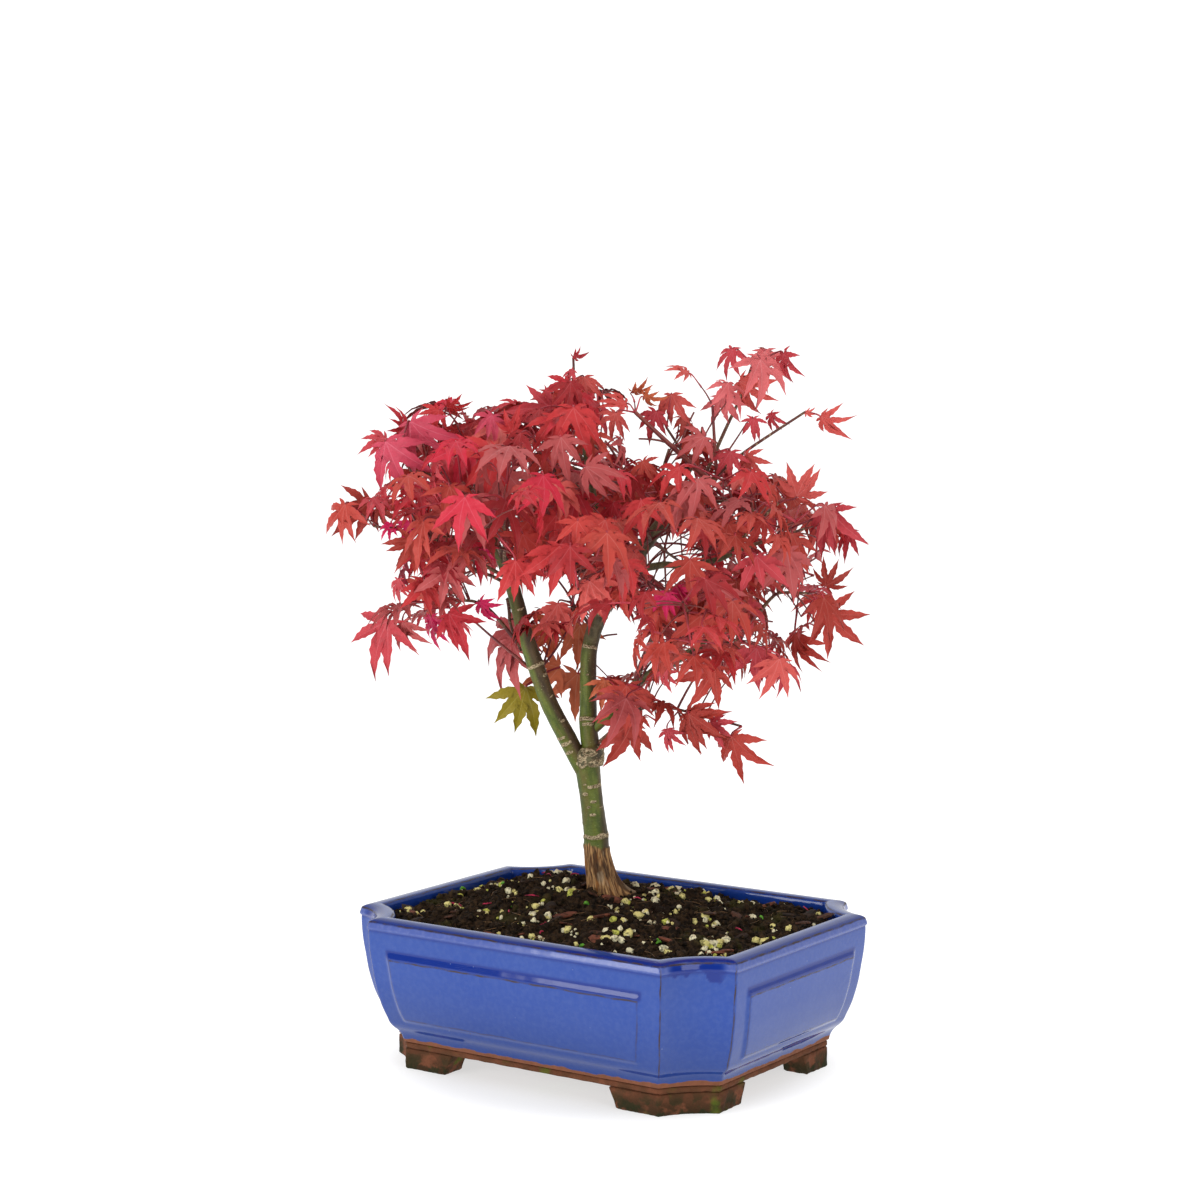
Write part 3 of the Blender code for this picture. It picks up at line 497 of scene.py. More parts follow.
# a foot's rings as (height, how much shorter its arms are, how far its edge is worn)
FOOT_RINGS = ((0, FOOT_SLOPE, 0.7), (0.7, FOOT_SLOPE - 0.3, 0), (3.5, 2.6, 0), (6.5, 1.4, 0),
              (FOOT_HEIGHT - GAP - 0.4, 0.2, 0), (FOOT_HEIGHT - GAP, 0, 0.3))
FEET = (("foot_front_left", -1, -1), ("foot_front_right", 1, -1), ("foot_back_right", 1, 1),
        ("foot_back_left", -1, 1))

clay, tree, shader = new_look("bare clay", 0.85, Specular_IOR_Level=0.25)
fired = mixed(tree, grains(tree, Size=3.0, Detail=5.0), srgb(88, 50, 30), srgb(134, 80, 54))
grime = blotches(tree, Size=11.0, Detail=6.0, Low=0.40, High=0.54, Upright=1.6)
low = ranged(tree, height_in(tree), 0.001, 0.013, 1.0, 0.25)
fired = mixed(tree, times(tree, grime, times(tree, low, 0.9)), fired, srgb(50, 34, 12))
algae = blotches(tree, Size=6.0, Detail=6.0, Low=0.45, High=0.56)
fired = mixed(tree, times(tree, times(tree, algae, low), 0.9), fired, srgb(34, 38, 12))
moss = blotches(tree, Size=17.0, Detail=5.0, Low=0.56, High=0.66)
fired = mixed(tree, times(tree, moss, 0.7), fired, srgb(82, 98, 20))
painted(tree, shader, fired)
grit = plus(tree, grains(tree, Size=1.2, Detail=5.0), times(tree, grains(tree, Size=6.0), 1.5))
bumped(tree, shader, grit, 0.35)


def walked(points):
    """How far along a row of points each one lies."""
    return np.concatenate([[0], np.cumsum(np.linalg.norm(np.diff(points, axis=0), axis=1))])


def evenly(corners, count):
    """A closed outline as this many points, evenly spaced along it."""
    closed = np.vstack([corners, corners[:1]])
    walk = walked(closed)
    at = np.arange(count) / count * walk[-1]
    return np.stack([np.interp(at, walk, closed[:, k]) for k in (0, 1)], -1)


def notch_arc(inset, count=24):
    """The notch at the corner (+X, +Y), from the side that faces +X round to the one facing +Y."""
    reach = NOTCH_REACH + inset
    start = math.asin((NOTCH_SHIFT + inset) / reach)
    turn = np.linspace(start, math.pi / 2 - start, count)
    return np.stack([POT_LENGTH / 2 + NOTCH_SHIFT - reach * np.sin(turn),
                     POT_WIDTH / 2 + NOTCH_SHIFT - reach * np.cos(turn)], -1)


def clay_block(rings, heights, seed):
    """The points of a slab through rings of equal count, each moved level, away from the slab's
    middle, by the sum of two noises, and never further out than a quarter of a millimetre."""
    rings = [np.column_stack([ring, np.full(len(ring), h)]) for ring, h in zip(rings, heights)]
    points = np.vstack(rings)
    worn = 0.45 * rough(points, 2.6, seed) + 0.3 * rough(points, 1.1, seed + 1)
    centre = points.mean(0)
    out = points - centre
    out[:, 2] = 0
    out /= np.linalg.norm(out, axis=1)[:, None] + 1e-9
    return points + out * np.minimum(worn, 0.25)[:, None]


band_insets = np.array([BAND_INSET + 0.5, BAND_INSET, BAND_INSET, BAND_INSET + 0.35])
band_heights = np.array([FOOT_HEIGHT, FOOT_HEIGHT + 0.45, BAND_TOP - GAP - 0.3, BAND_TOP - GAP])
x, y, _ = notched(band_insets, lambda gap: 0 * gap)
points = clay_block([np.column_stack([a, b]) for a, b in zip(x, y)], band_heights, 21)
columns = x.shape[1]
points = np.vstack([points, [(0, 0, band_heights[0]), (0, 0, band_heights[-1])]])
make_piece("clay_plate", points,
           closed_faces(len(band_heights), columns), [clay], ["clay_band"])

foot_points, foot_faces, first = [], [], 0
for name, sign_x, sign_y in FEET:
    rings = []
    for level, shorter, worn in FOOT_RINGS:
        outer_arc, inner_arc = notch_arc(BAND_INSET + worn), notch_arc(BAND_INSET + FOOT_WALL - worn)
        long_end = outer_arc[-1, 0] - FOOT_LONG_REACH + shorter + worn
        short_end = outer_arc[0, 1] - FOOT_SHORT_REACH + shorter + worn
        corners = np.vstack([(outer_arc[0, 0], short_end), outer_arc, (long_end, outer_arc[-1, 1]),
                             (long_end, inner_arc[-1, 1]), inner_arc[::-1], (inner_arc[0, 0], short_end)])
        rings.append(evenly(corners, FOOT_COLUMNS))
    block = clay_block(rings, [level for level, _, _ in FOOT_RINGS], 31) * (sign_x, sign_y, 1)
    faces = ring_faces(len(rings), FOOT_COLUMNS)
    half = np.arange(FOOT_COLUMNS // 2 - 1)
    for ring, upward in ((0, False), (len(rings) - 1, True)):
        near = ring * FOOT_COLUMNS + half
        far = (ring + 1) * FOOT_COLUMNS - 1 - half
        cap = np.stack([near, near + 1, far - 1, far], -1)
        faces = np.vstack([faces, cap if upward else cap[:, ::-1]])
    if sign_x * sign_y < 0:
        faces = faces[:, ::-1]
    foot_points.append(block)
    foot_faces.append(faces + first)
    first += len(block)
make_piece("clay_feet", np.vstack(foot_points), [np.vstack(foot_faces)], [clay],
           [name for name, _, _ in FEET])


# ---- the soil
# Dark peat in clods, mounded up to the trunk, with grains of cream perlite washed to its surface,
# chips of bark, fallen leaf stalks, a few seedlings and root fibres lying on it.
TREE_TURN = math.radians(34.5)      # from the pot's long side to the tree's front
TRUNK_SPOT = (-2.4, -17)
SOIL_EDGE, SOIL_TOP, SOIL_FLAT, SOIL_INSET = 67.8, 74.4, 17.0, 9.2
# low heaps behind the trunk and before it, as (across, depth, rise, spread)
HEAPS = ((-32, -36, 8.0, 22.0), (30, -34, 2.2, 26.0), (-14, -5, 4.6, 8.0))
# the soil's clods, as (size, height as a share of it, seed)
CLODS = ((13.0, 0.16, 41), (6.0, 0.34, 42), (2.8, 0.42, 43), (1.3, 0.34, 44))
COLLAR_RISE = 1.3                   # how far the soil is drawn up round the trunk's foot
SOIL_FLOOR = ((20.3, 18.3), (29, 13.3), (45, 10.2), (60, 9.5))
SKIRT_TAPER = 90.0
SOIL_COLUMNS, SOIL_ROWS = 560, 84
CRUMBS, CHIPS, FIBRES, SCRAPS, SEEDLINGS = 3400, 90, 110, 18, 9
PERLITE_CLUSTERS, PERLITE_EACH, PERLITE_ALONE = 60, 7, 90
CLUSTER_SPREAD = 2.9
CHIP_SIZE = (8.0, 4.2, 1.2)
CUBE_FACES = 24


def placed(across, depth, height):
    """A place given in the tree's own front, in the pot's axes."""
    c, s = math.cos(TREE_TURN), math.sin(TREE_TURN)
    return np.stack([across * c + depth * s, across * s - depth * c, height + 0 * across], -1)


def to_edge(x, y):
    """Distance from the soil's edge, inwards: the least of those to the sides and the notches."""
    sides = np.minimum(POT_LENGTH / 2 - np.abs(x), POT_WIDTH / 2 - np.abs(y)) - SOIL_INSET
    notch = np.hypot(np.abs(x) - POT_LENGTH / 2 - NOTCH_SHIFT, np.abs(y) - POT_WIDTH / 2 - NOTCH_SHIFT)
    return np.minimum(sides, notch - NOTCH_REACH - SOIL_INSET)


def soil_level(x, y):
    """The soil's height: a smooth rise from the edge to the flat round the trunk, with clods of
    four sizes, each a lattice noise with its hollows pressed flat."""
    middle = placed(*map(float, TRUNK_SPOT), 0.0)
    out = np.maximum(np.hypot(x - middle[0], y - middle[1]) - SOIL_FLAT, 0)
    edge = np.maximum(to_edge(x, y), 0)
    spot = np.stack([x, y, 0 * x], -1)
    heaped = 0
    for across, depth, rise, spread in HEAPS:
        heap = placed(float(across), float(depth), 0.0)
        heaped = heaped + rise * np.exp(-((x - heap[0]) ** 2 + (y - heap[1]) ** 2) / spread ** 2)
    collar = COLLAR_RISE * np.exp(-(out / 7.0) ** 2)
    clods = sum(size * share * np.maximum(rough(spot, size, seed), -0.25) for size, share, seed in CLODS)
    return (SOIL_EDGE + (SOIL_TOP - SOIL_EDGE) * blend(0, 1, edge / (edge + out + 0.001))
            + (clods + heaped + collar) * blend(-1, 5, edge))


peat, tree, shader = new_look("peat", 0.95, Specular_IOR_Level=0.15)
crumbly = blotches(tree, Size=2.2, Detail=6.0, Low=0.35, High=0.65)
dark = mixed(tree, crumbly, srgb(20, 15, 10), srgb(62, 46, 30))
dark = mixed(tree, blotches(tree, Size=9.0, Detail=3.0, Low=0.5, High=0.65), dark, srgb(34, 24, 16))
mossy = blotches(tree, Size=20.0, Detail=5.0, Low=0.58, High=0.68)
dark = mixed(tree, times(tree, mossy, 0.5), dark, srgb(62, 60, 22))
painted(tree, shader, dark)
bumped(tree, shader, grains(tree, Size=1.6, Detail=6.0), 0.8)

edge_x, edge_y, _ = notched([SOIL_INSET], lambda gap: 0 * gap)
outline = evenly(np.stack([edge_x[0], edge_y[0]], -1), SOIL_COLUMNS)
middle = placed(*map(float, TRUNK_SPOT), 0.0)[:2]
share = (np.arange(SOIL_ROWS) / SOIL_ROWS)[:, None, None]
flat = outline * (1 - share) + middle * share
top = np.dstack([flat, soil_level(flat[..., 0], flat[..., 1])])
skirt = [np.column_stack([outline * (1 - (inset - SOIL_INSET) / SKIRT_TAPER), np.full(SOIL_COLUMNS, level)])
         for level, inset in SOIL_FLOOR]
centres = [(0, 0, SOIL_FLOOR[0][0]), (*middle, SOIL_TOP)]
points = np.concatenate([np.vstack(skirt), top.reshape(-1, 3), centres])
make_piece("soil_bed", points, closed_faces(len(skirt) + SOIL_ROWS, SOIL_COLUMNS), [peat], ["soil"])


def rounded_cube():
    """A lump's pattern: the points of a 3 x 3 x 3 lattice less its middle, drawn in to a sphere,
    and the four-cornered faces of its six sides."""
    spots = [spot for spot in np.ndindex(3, 3, 3) if spot != (1, 1, 1)]
    number = {spot: k for k, spot in enumerate(spots)}
    points = np.array(spots, float) - 1
    points /= np.linalg.norm(points, axis=1)[:, None] ** 0.8
    faces = []
    for axis in range(3):
        a, b = (axis + 1) % 3, (axis + 2) % 3
        for level in (0, 2):
            for i, j in np.ndindex(2, 2):
                corners = []
                for da, db in ((0, 0), (1, 0), (1, 1), (0, 1)):
                    spot = [0, 0, 0]
                    spot[axis], spot[a], spot[b] = level, i + da, j + db
                    corners.append(number[tuple(spot)])
                faces.append(corners if level else corners[::-1])
    return points, np.array(faces)


def lump():
    """A crumb's pattern: the twelve points and twenty faces of an icosahedron."""
    g = (1 + math.sqrt(5)) / 2
    points = np.array([(-1, g, 0), (1, g, 0), (-1, -g, 0), (1, -g, 0), (0, -1, g), (0, 1, g), (0, -1, -g),
                       (0, 1, -g), (g, 0, -1), (g, 0, 1), (-g, 0, -1), (-g, 0, 1)]) / math.hypot(1, g)
    faces = np.array([(0, 11, 5), (0, 5, 1), (0, 1, 7), (0, 7, 10), (0, 10, 11), (1, 5, 9), (5, 11, 4),
                      (11, 10, 2), (10, 7, 6), (7, 1, 8), (3, 9, 4), (3, 4, 2), (3, 2, 6), (3, 6, 8),
                      (3, 8, 9), (4, 9, 5), (2, 4, 11), (6, 2, 10), (8, 6, 7), (9, 8, 1)])
    return points, faces


def scattered(pattern, spots, sizes, chance, jitter, tilt=math.pi):
    """Copies of a pattern: each is stretched to its own three sizes, its points pushed about, turned
    any way round and tilted by up to tilt, and set down on its spot."""
    points, faces = pattern
    count = len(spots)
    body = points[None] * sizes[:, None] * (1 + jitter * chance.uniform(-1, 1, (count, len(points), 1)))
    turn = chance.uniform(0, 2 * math.pi, count)
    lean = chance.uniform(-tilt, tilt, count)
    roll = chance.uniform(-tilt, tilt, count)

    def turned(body, angle, a, b):
        c, s = np.cos(angle)[:, None], np.sin(angle)[:, None]
        out = body.copy()
        out[..., a] = c * body[..., a] - s * body[..., b]
        out[..., b] = s * body[..., a] + c * body[..., b]
        return out

    body = turned(turned(turned(body, roll, 1, 2), lean, 2, 0), turn, 0, 1)
    step = (np.arange(count) * len(points))[:, None, None]
    return (body + spots[:, None]).reshape(-1, 3), (faces[None] + step).reshape(-1, faces.shape[1])


def soil_spots(chance, count, margin):
    """Random places on the soil, at least a margin from its edge."""
    x = chance.uniform(-POT_LENGTH / 2, POT_LENGTH / 2, count * 2)
    y = chance.uniform(-POT_WIDTH / 2, POT_WIDTH / 2, count * 2)
    inside = to_edge(x, y) > margin
    x, y = x[inside][:count], y[inside][:count]
    return np.stack([x, y, soil_level(x, y)], -1)


chance = np.random.RandomState(5)
spots = soil_spots(chance, CRUMBS, 1.5)
sizes = chance.uniform(0.35, 1.0, (len(spots), 1)) ** 2.4 * 3.0 * chance.uniform(0.5, 1.1, (len(spots), 3))
points, faces = scattered(lump(), spots + (0, 0, 0.2), sizes, chance, 0.25)
make_piece("peat_crumbs", points, [faces], [peat], smooth=False)

looks = []
for title, colour in (("cream", (240, 232, 192)), ("straw", (232, 220, 142)), ("lime", (204, 206, 96))):
    look, tree, shader = two_toned("perlite " + title, 0.9, colour, darker(colour, 0.62),
                                   {"Size": 1.4, "Low": 0.5, "High": 0.66}, Specular_IOR_Level=0.2)
    bumped(tree, shader, grains(tree, Size=0.8, Detail=3.0), 0.3)
    looks.append(look)
centres = soil_spots(chance, PERLITE_CLUSTERS, 5)
spots = np.repeat(centres, PERLITE_EACH, 0)
spots[:, :2] += chance.normal(0, CLUSTER_SPREAD, (len(spots), 2))
spots = np.vstack([spots, soil_spots(chance, PERLITE_ALONE, 3)])
spots = spots[to_edge(spots[:, 0], spots[:, 1]) > 2.5]
spots[:, 2] = soil_level(spots[:, 0], spots[:, 1]) + 0.35
bulk = 0.6 + 2.0 * chance.uniform(0, 1, (len(spots), 1)) ** 1.9
sizes = bulk * chance.uniform(0.65, 1.15, (len(spots), 3))
points, faces = scattered(rounded_cube(), spots, sizes, chance, 0.2)
of_grain = chance.choice(3, len(spots), p=(0.5, 0.32, 0.18))
make_piece("perlite", points, [faces], looks, look_of=np.repeat(of_grain, CUBE_FACES))

looks = []
for title, colour in (("red", (128, 74, 54)), ("brown", (86, 54, 38)), ("dark", (52, 36, 26))):
    look, tree, shader = two_toned("bark chip " + title, 0.8, colour, darker(colour, 0.55),
                                   {"Size": 2.5, "Detail": 5.0, "Low": 0.4, "High": 0.65},
                                   Specular_IOR_Level=0.25)
    bumped(tree, shader, grains(tree, Size=1.4, Detail=4.0), 0.3)
    looks.append(look)
spots = soil_spots(chance, CHIPS, 4) + (0, 0, 0.5)
bulk = chance.uniform(0.4, 1, (len(spots), 1)) ** 1.5
sizes = bulk * np.array(CHIP_SIZE) * chance.uniform(0.7, 1.1, (len(spots), 3))
points, faces = scattered(rounded_cube(), spots, sizes, chance, 0.12, 0.4)
make_piece("bark_chips", points, [faces], looks, smooth=False,
           look_of=np.repeat(chance.choice(3, len(spots), p=(0.3, 0.3, 0.4)), CUBE_FACES))


def many_tubes(paths, radii, sides):
    """Tubes along many paths at once, paths (tubes, places, 3) and radii (tubes, places): a ring at
    each place, square to the way there, and a point that closes each end."""
    count, places = radii.shape
    along = np.gradient(paths, axis=1)
    along /= np.linalg.norm(along, axis=2)[..., None] + 1e-9
    guide = np.where(np.abs(along[:, :1, 2:]) > 0.9, [1.0, 0.0, 0.0], [0.0, 0.0, 1.0])
    side = np.cross(along, guide)
    side /= np.linalg.norm(side, axis=2)[..., None]
    other = np.cross(along, side)
    turn = 2 * math.pi * np.arange(sides) / sides
    rings = (paths[:, :, None] + side[:, :, None] * (radii[..., None] * np.cos(turn))[..., None]
             + other[:, :, None] * (radii[..., None] * np.sin(turn))[..., None])
    ends = np.stack([paths[:, 0] - along[:, 0] * radii[:, :1] * 0.5,
                     paths[:, -1] + along[:, -1] * radii[:, -1:] * 0.5], 1)
    points = np.concatenate([rings.reshape(count, -1, 3), ends], 1)
    quads = ring_faces(places, sides)[:, ::-1]
    caps = np.vstack([cap_faces(0, sides, places * sides, True),
                      cap_faces((places - 1) * sides, sides, places * sides + 1, False)])
    step = (np.arange(count) * points.shape[1])[:, None, None]
    return points.reshape(-1, 3), [(quads + step).reshape(-1, 4), (caps + step).reshape(-1, 3)]


def strewn(chance, count, margin, lengths, lift, bend):
    """Short curved paths lying on the soil: each runs one way from its spot, bowed to one side."""
    spots = soil_spots(chance, count, margin)
    way = chance.uniform(0, 2 * math.pi, len(spots))
    length = chance.uniform(*lengths, len(spots))
    t = np.linspace(-0.5, 0.5, 7)[None]
    bow = (bend * chance.uniform(-1, 1, len(spots)) * length)[:, None] * (0.25 - t * t) * 4
    x = spots[:, :1] + np.cos(way)[:, None] * t * length[:, None] - np.sin(way)[:, None] * bow
    y = spots[:, 1:2] + np.sin(way)[:, None] * t * length[:, None] + np.cos(way)[:, None] * bow
    rise = lift * (0.4 + 0.6 * np.cos(math.pi * t)) * chance.uniform(0.5, 1.2, (len(spots), 1))
    return np.stack([x, y, soil_level(x, y).mean(1)[:, None] + 0.5 + rise], -1)


for title, colour, count, lengths, thick, lift in (
        ("root_fibres", (132, 98, 60), FIBRES, (5, 17), 0.16, 0.8),
        ("fallen_stalks", (196, 34, 78), SCRAPS, (4, 9), 0.42, 1.0),
        ("seedlings", (96, 170, 34), SEEDLINGS, (2, 4), 0.8, 1.6)):
    look, _, _ = two_toned(title.replace("_", " "), 0.6, colour, darker(colour, 0.7), {"Size": 3.0})
    paths = strewn(chance, count, 6, lengths, lift, 0.35)
    radii = thick * np.sin(np.linspace(0.35, 2.7, 7))[None] * chance.uniform(0.7, 1.2, (len(paths), 1))
    points, faces = many_tubes(paths, radii, 4)
    make_piece(title, points, faces, [look])


# ---- the trunk and boughs
# One piece of living wood: smooth green bark crossed by cream corky scars, grey-brown where it is
# older, and peeled to its brown fibres above the roots.  Each limb's side away from the light is
# painted browner and darker, as painted shade.  Each limb is swept along its own path.
TRUNK_FOOT = SOIL_TOP + GAP
TRUNK = ((-2.8, -17, TRUNK_FOOT, 14.6), (-4.1, -17, 82, 14.0), (-5.7, -17, 90.4, 13.2),
         (-7.0, -17, 98.7, 12.2), (-7.4, -17, 106, 11.6), (-9.6, -17, 124, 10.9),
         (-11.2, -17, 138, 11.9), (-11.4, -17, 144, 12.2))
ROOTS = ((-12, 9.0, 24), (70, 5.0, 34), (165, 3.6, 40), (250, 4.2, 36))  # turn, reach, spread
ROOT_FADE = 5.4
LIMBS = {
    "left_bough": ((-12.9, -17, 137, 8.8), (-21.0, -16, 152.7, 8.8), (-29.6, -14, 169.9, 8.3),
                   (-36.2, -12, 188.9, 7.9), (-41.8, -10, 206.8, 7.3), (-45.5, -8, 222.2, 6.8),
                   (-50.5, -6, 236.6, 5.8), (-58.0, -4, 253.3, 4.6), (-65.0, -2, 266.0, 3.4)),
    "leader": ((-10.1, -17, 138, 8.6), (-9.8, -17, 147.3, 8.8), (-11.0, -17, 158.4, 8.6),
               (-11.0, -18, 169.3, 8.1), (-11.0, -18, 185.7, 7.8), (-10.1, -19, 196.7, 7.7),
               (-5.3, -20, 211.4, 7.4), (6.6, -19, 230.7, 7.0), (17.5, -16, 247.6, 6.8),
               (30.2, -13, 263.1, 5.8), (43.0, -10, 276.0, 4.6)),
    "right_bough": ((-9.0, -17, 156.5, 5.2), (-3.8, -15, 161.6, 5.2), (2.8, -13, 168.1, 4.9),
                    (11.6, -10, 179.5, 4.6), (19.4, -8, 184.9, 4.4), (35.5, -4, 194.6, 4.0),
                    (53.5, 0, 205.6, 3.2), (67.0, 4, 214.0, 2.4)),
    "right_branch": ((4.0, -19, 226.4, 3.8), (10.4, -15, 232.5, 3.7), (24.0, -9, 236.4, 3.3),
                     (34.2, -4, 236.6, 3.0), (48.6, 2, 239.7, 2.6), (60.0, 8, 245.0, 2.2)),
    "top_bough": ((-2.6, -20, 217.0, 4.6), (-2.6, -23, 235.0, 4.4), (-6.2, -24, 256.4, 3.8),
                  (-10.0, -21, 275.8, 3.1), (-12.6, -18, 291.0, 2.4)),
    "back_bough": ((-10.0, -20, 199.4, 4.4), (-7.2, -34, 209.9, 4.1), (-3.4, -50, 220.4, 3.4),
                   (0.6, -64, 230.0, 2.6)),
}
LIMB_END = ((0.3, 0.8), (0.48, 0.3))
TORN_LEVEL = 99.9                   # where the bark above the roots is torn off
# corky scars as (limb, height, turn of its middle, half its turn, thickness, how far it stands out)
SCARS = (("trunk", 105.6, 90, 190, 1.1, 0.40), ("trunk", 129.8, 60, 42, 0.8, 0.35),
         ("trunk", 126.6, 118, 14, 0.9, 0.35), ("trunk", 122.6, 80, 16, 0.7, 0.25),
         ("trunk", 120.1, 108, 9, 0.6, 0.25), ("trunk", 119.5, 40, 12, 0.5, 0.15),
         ("trunk", 116.2, 92, 16, 0.7, 0.25), ("trunk", 131.2, 112, 8, 0.5, 0.2),
         ("trunk", 112.0, 200, 30, 0.6, 0.25), ("trunk", 134.0, 250, 60, 0.8, 0.3),
         ("trunk", 124.0, 300, 40, 0.7, 0.25), ("trunk", 117.0, 240, 30, 0.6, 0.25),
         ("left_bough", 151.5, 110, 40, 0.9, 0.35), ("left_bough", 154.5, 130, 40, 0.7, 0.3),
         ("left_bough", 147.5, 120, 30, 0.8, 0.3), ("left_bough", 188.6, 90, 190, 0.9, 0.45),
         ("left_bough", 227.5, 90, 190, 0.8, 0.35), ("left_bough", 183.5, 40, 20, 0.8, 0.4),
         ("left_bough", 173.0, 50, 16, 0.5, 0.25), ("left_bough", 161.0, 55, 16, 0.7, 0.3),
         ("left_bough", 205.0, 120, 12, 0.5, 0.2), ("left_bough", 216.0, 70, 30, 0.5, 0.2),
         ("leader", 196.4, 90, 60, 0.8, 0.4), ("leader", 183.6, 95, 10, 0.5, 0.2),
         ("leader", 159.6, 90, 40, 0.7, 0.3), ("leader", 162.0, 250, 190, 0.8, 0.3),
         ("leader", 212.0, 90, 120, 0.7, 0.3), ("leader", 236.0, 90, 190, 0.8, 0.35),
         ("leader", 175.0, 200, 50, 0.6, 0.25), ("leader", 258.0, 90, 190, 0.8, 0.35))
WOOD_SIDES, WOOD_STEP = 44, 0.6
CALLUS_LOW, CALLUS_HIGH = 139.8, 148.8   # the corky collar round the fork


def swept_frames(path):
    """The directions across a path: the tree's right, turned with the path as it bends by taking
    off at each step what lies along it, and the one square to both."""
    along = np.gradient(path, axis=0)
    along /= np.linalg.norm(along, axis=1)[:, None]
    side = placed(1.0, 0.0, 0.0)
    if abs(side @ along[0]) > 0.8:
        side = np.array([0.0, 0.0, 1.0])
    sides = []
    for way in along:
        side = side - way * (side @ way)
        side /= np.linalg.norm(side)
        sides.append(side)
    sides = np.array(sides)
    return along, sides, np.cross(sides, along)


def swept_wood(name, points, seed):
    """A limb: rings of skin at a radius of half the diameter plus relief, square to the path."""
    path = smooth_line([[*placed(*p[:3]), p[3]] for p in np.array(points, float)], WOOD_STEP)
    centre, width = path[:, :3], path[:, 3]
    tip = centre[-1] - centre[-2]
    tip /= np.linalg.norm(tip)
    turn_in = np.linspace(0, math.pi / 2, 8)[1:]
    centre = np.vstack([centre, centre[-1] + tip * (0.45 * width[-1] * np.sin(turn_in))[:, None]])
    width = np.concatenate([width, width[-1] * np.cos(turn_in) + 0.02])
    along, right, toward = swept_frames(centre)
    walk = walked(centre)
    turn = np.linspace(0, 2 * math.pi, WOOD_SIDES, endpoint=False)
    degrees = np.degrees(turn)[None]
    radius = np.broadcast_to(width[:, None] / 2, (len(centre), WOOD_SIDES)).copy()
    straight = np.stack([width[:, None] / 2 * np.cos(turn), width[:, None] / 2 * np.sin(turn),
                         np.broadcast_to(walk[:, None], radius.shape)], -1)
    height = np.broadcast_to(centre[:, 2:3], radius.shape)
    cork = np.zeros(radius.shape)
    for limb, level, middle, half, thick, stand in SCARS:
        if limb != name:
            continue
        apart = np.abs((degrees - middle + 180) % 360 - 180)
        wave = 0.7 * rough(straight, 2.5, level) if half > 100 else 0.35 * rough(straight, 1.5, level)
        band = np.exp(-(((height + wave - level) * np.maximum(along[:, 2:3], 0.5) ** -1) / thick) ** 2)
        scar = band * blend(half + 8, half - 8, apart)
        radius += stand * scar * (1 + 0.5 * rough(straight, 1.0, level + 1))
        cork = np.maximum(cork, scar)
    peel = np.zeros(radius.shape)
    if name == "trunk":
        flare = np.zeros(radius.shape)
        for root, reach, spread in ROOTS:
            apart = (degrees - root + 180) % 360 - 180
            flare += reach * np.exp(-(apart / spread) ** 2)
        radius += flare * np.exp(-(height - TRUNK_FOOT) / ROOT_FADE)
        torn = (TORN_LEVEL + 2.6 * np.cos(turn - 2.8)[None] + 1.6 * rough(straight * (1, 1, 0), 2.6, 5)
                + 1.6 * rough(straight * (1, 1, 0), 0.7, 6))
        peel = blend(torn + 0.7, torn - 0.5, height)
        fibre = rough(straight * (1, 1, 0.13), 1.5, 8) + 0.6 * rough(straight * (1, 1, 0.1), 0.8, 9)
        hollow = blend(0.25, 0.75, rough(straight * (1, 1, 0.22), 4.2, 12))
        radius += peel * (0.38 * fibre - 1.1 * hollow - 0.15)
        radius += 0.35 * (peel > 0.01) * blend(2.5, 0.0, np.abs(height - torn))
    radius += 0.10 * rough(straight, 3.5, seed + 20) + 0.04 * rough(straight, 1.1, seed + 21)
    if name in ("trunk", "leader"):
        ragged = height + 1.6 * rough(straight, 3.0, 35)
        collar = (blend(CALLUS_LOW - 0.8, CALLUS_LOW + 0.8, ragged)
                  * blend(CALLUS_HIGH + 1.2, CALLUS_HIGH - 1.2, ragged))
        weave = 1 - 2.4 * np.minimum(np.abs(rough(straight * (1, 1, 1.6), 2.6, 33)),
                                     np.abs(rough(straight, 2.1, 34)))
        radius += collar * ((0.5 if name == "trunk" else 1.7) + 0.5 * weave)
        cork = np.maximum(cork, collar * blend(0.3, 0.8, weave))
    points = (centre[:, None] + right[:, None] * (radius * np.cos(turn))[..., None]
              + toward[:, None] * (radius * np.sin(turn))[..., None])
    age = {"leader": blend(190, 204, height), "left_bough": 0.35 * blend(200, 240, height),
           "right_bough": 0.75 * blend(168, 182, height), "top_bough": 0.8, "back_bough": 0.8,
           "right_branch": 0.8}.get(name, 0.0)
    if name in ("trunk", "leader"):
        age = np.maximum(age, 0.85 * collar)
    # Painted shade: sunless is the share of browner, darker bark painted on each limb's side away from the
    # light.
    dark_side = {"left_bough": -0.85, "trunk": 0.15}.get(name, -0.45)
    facing = np.cos(turn - math.radians(-20))[None] + 0.45 * rough(straight * (1, 1, 0.3), 5.0, seed + 30)
    sunless = blend(dark_side, dark_side + 0.8, facing)
    shape = radius.shape
    grid = points.reshape(-1, 3)
    closed = np.vstack([grid, centre[:1], centre[-1:]])
    faces = ring_faces(len(centre), WOOD_SIDES)[:, ::-1]
    caps = [cap_faces(0, WOOD_SIDES, len(grid), True),
            cap_faces(len(grid) - WOOD_SIDES, WOOD_SIDES, len(grid) + 1, False)]
    values = {title: np.concatenate([np.broadcast_to(value, shape).ravel(), [0, 0]])
              for title, value in (("cork", cork), ("peel", peel), ("age", age), ("sunless", sunless))}
    values["straight"] = np.vstack([straight.reshape(-1, 3), [(0, 0, walk[0]), (0, 0, walk[-1])]])
    return closed, faces, np.vstack(caps), values


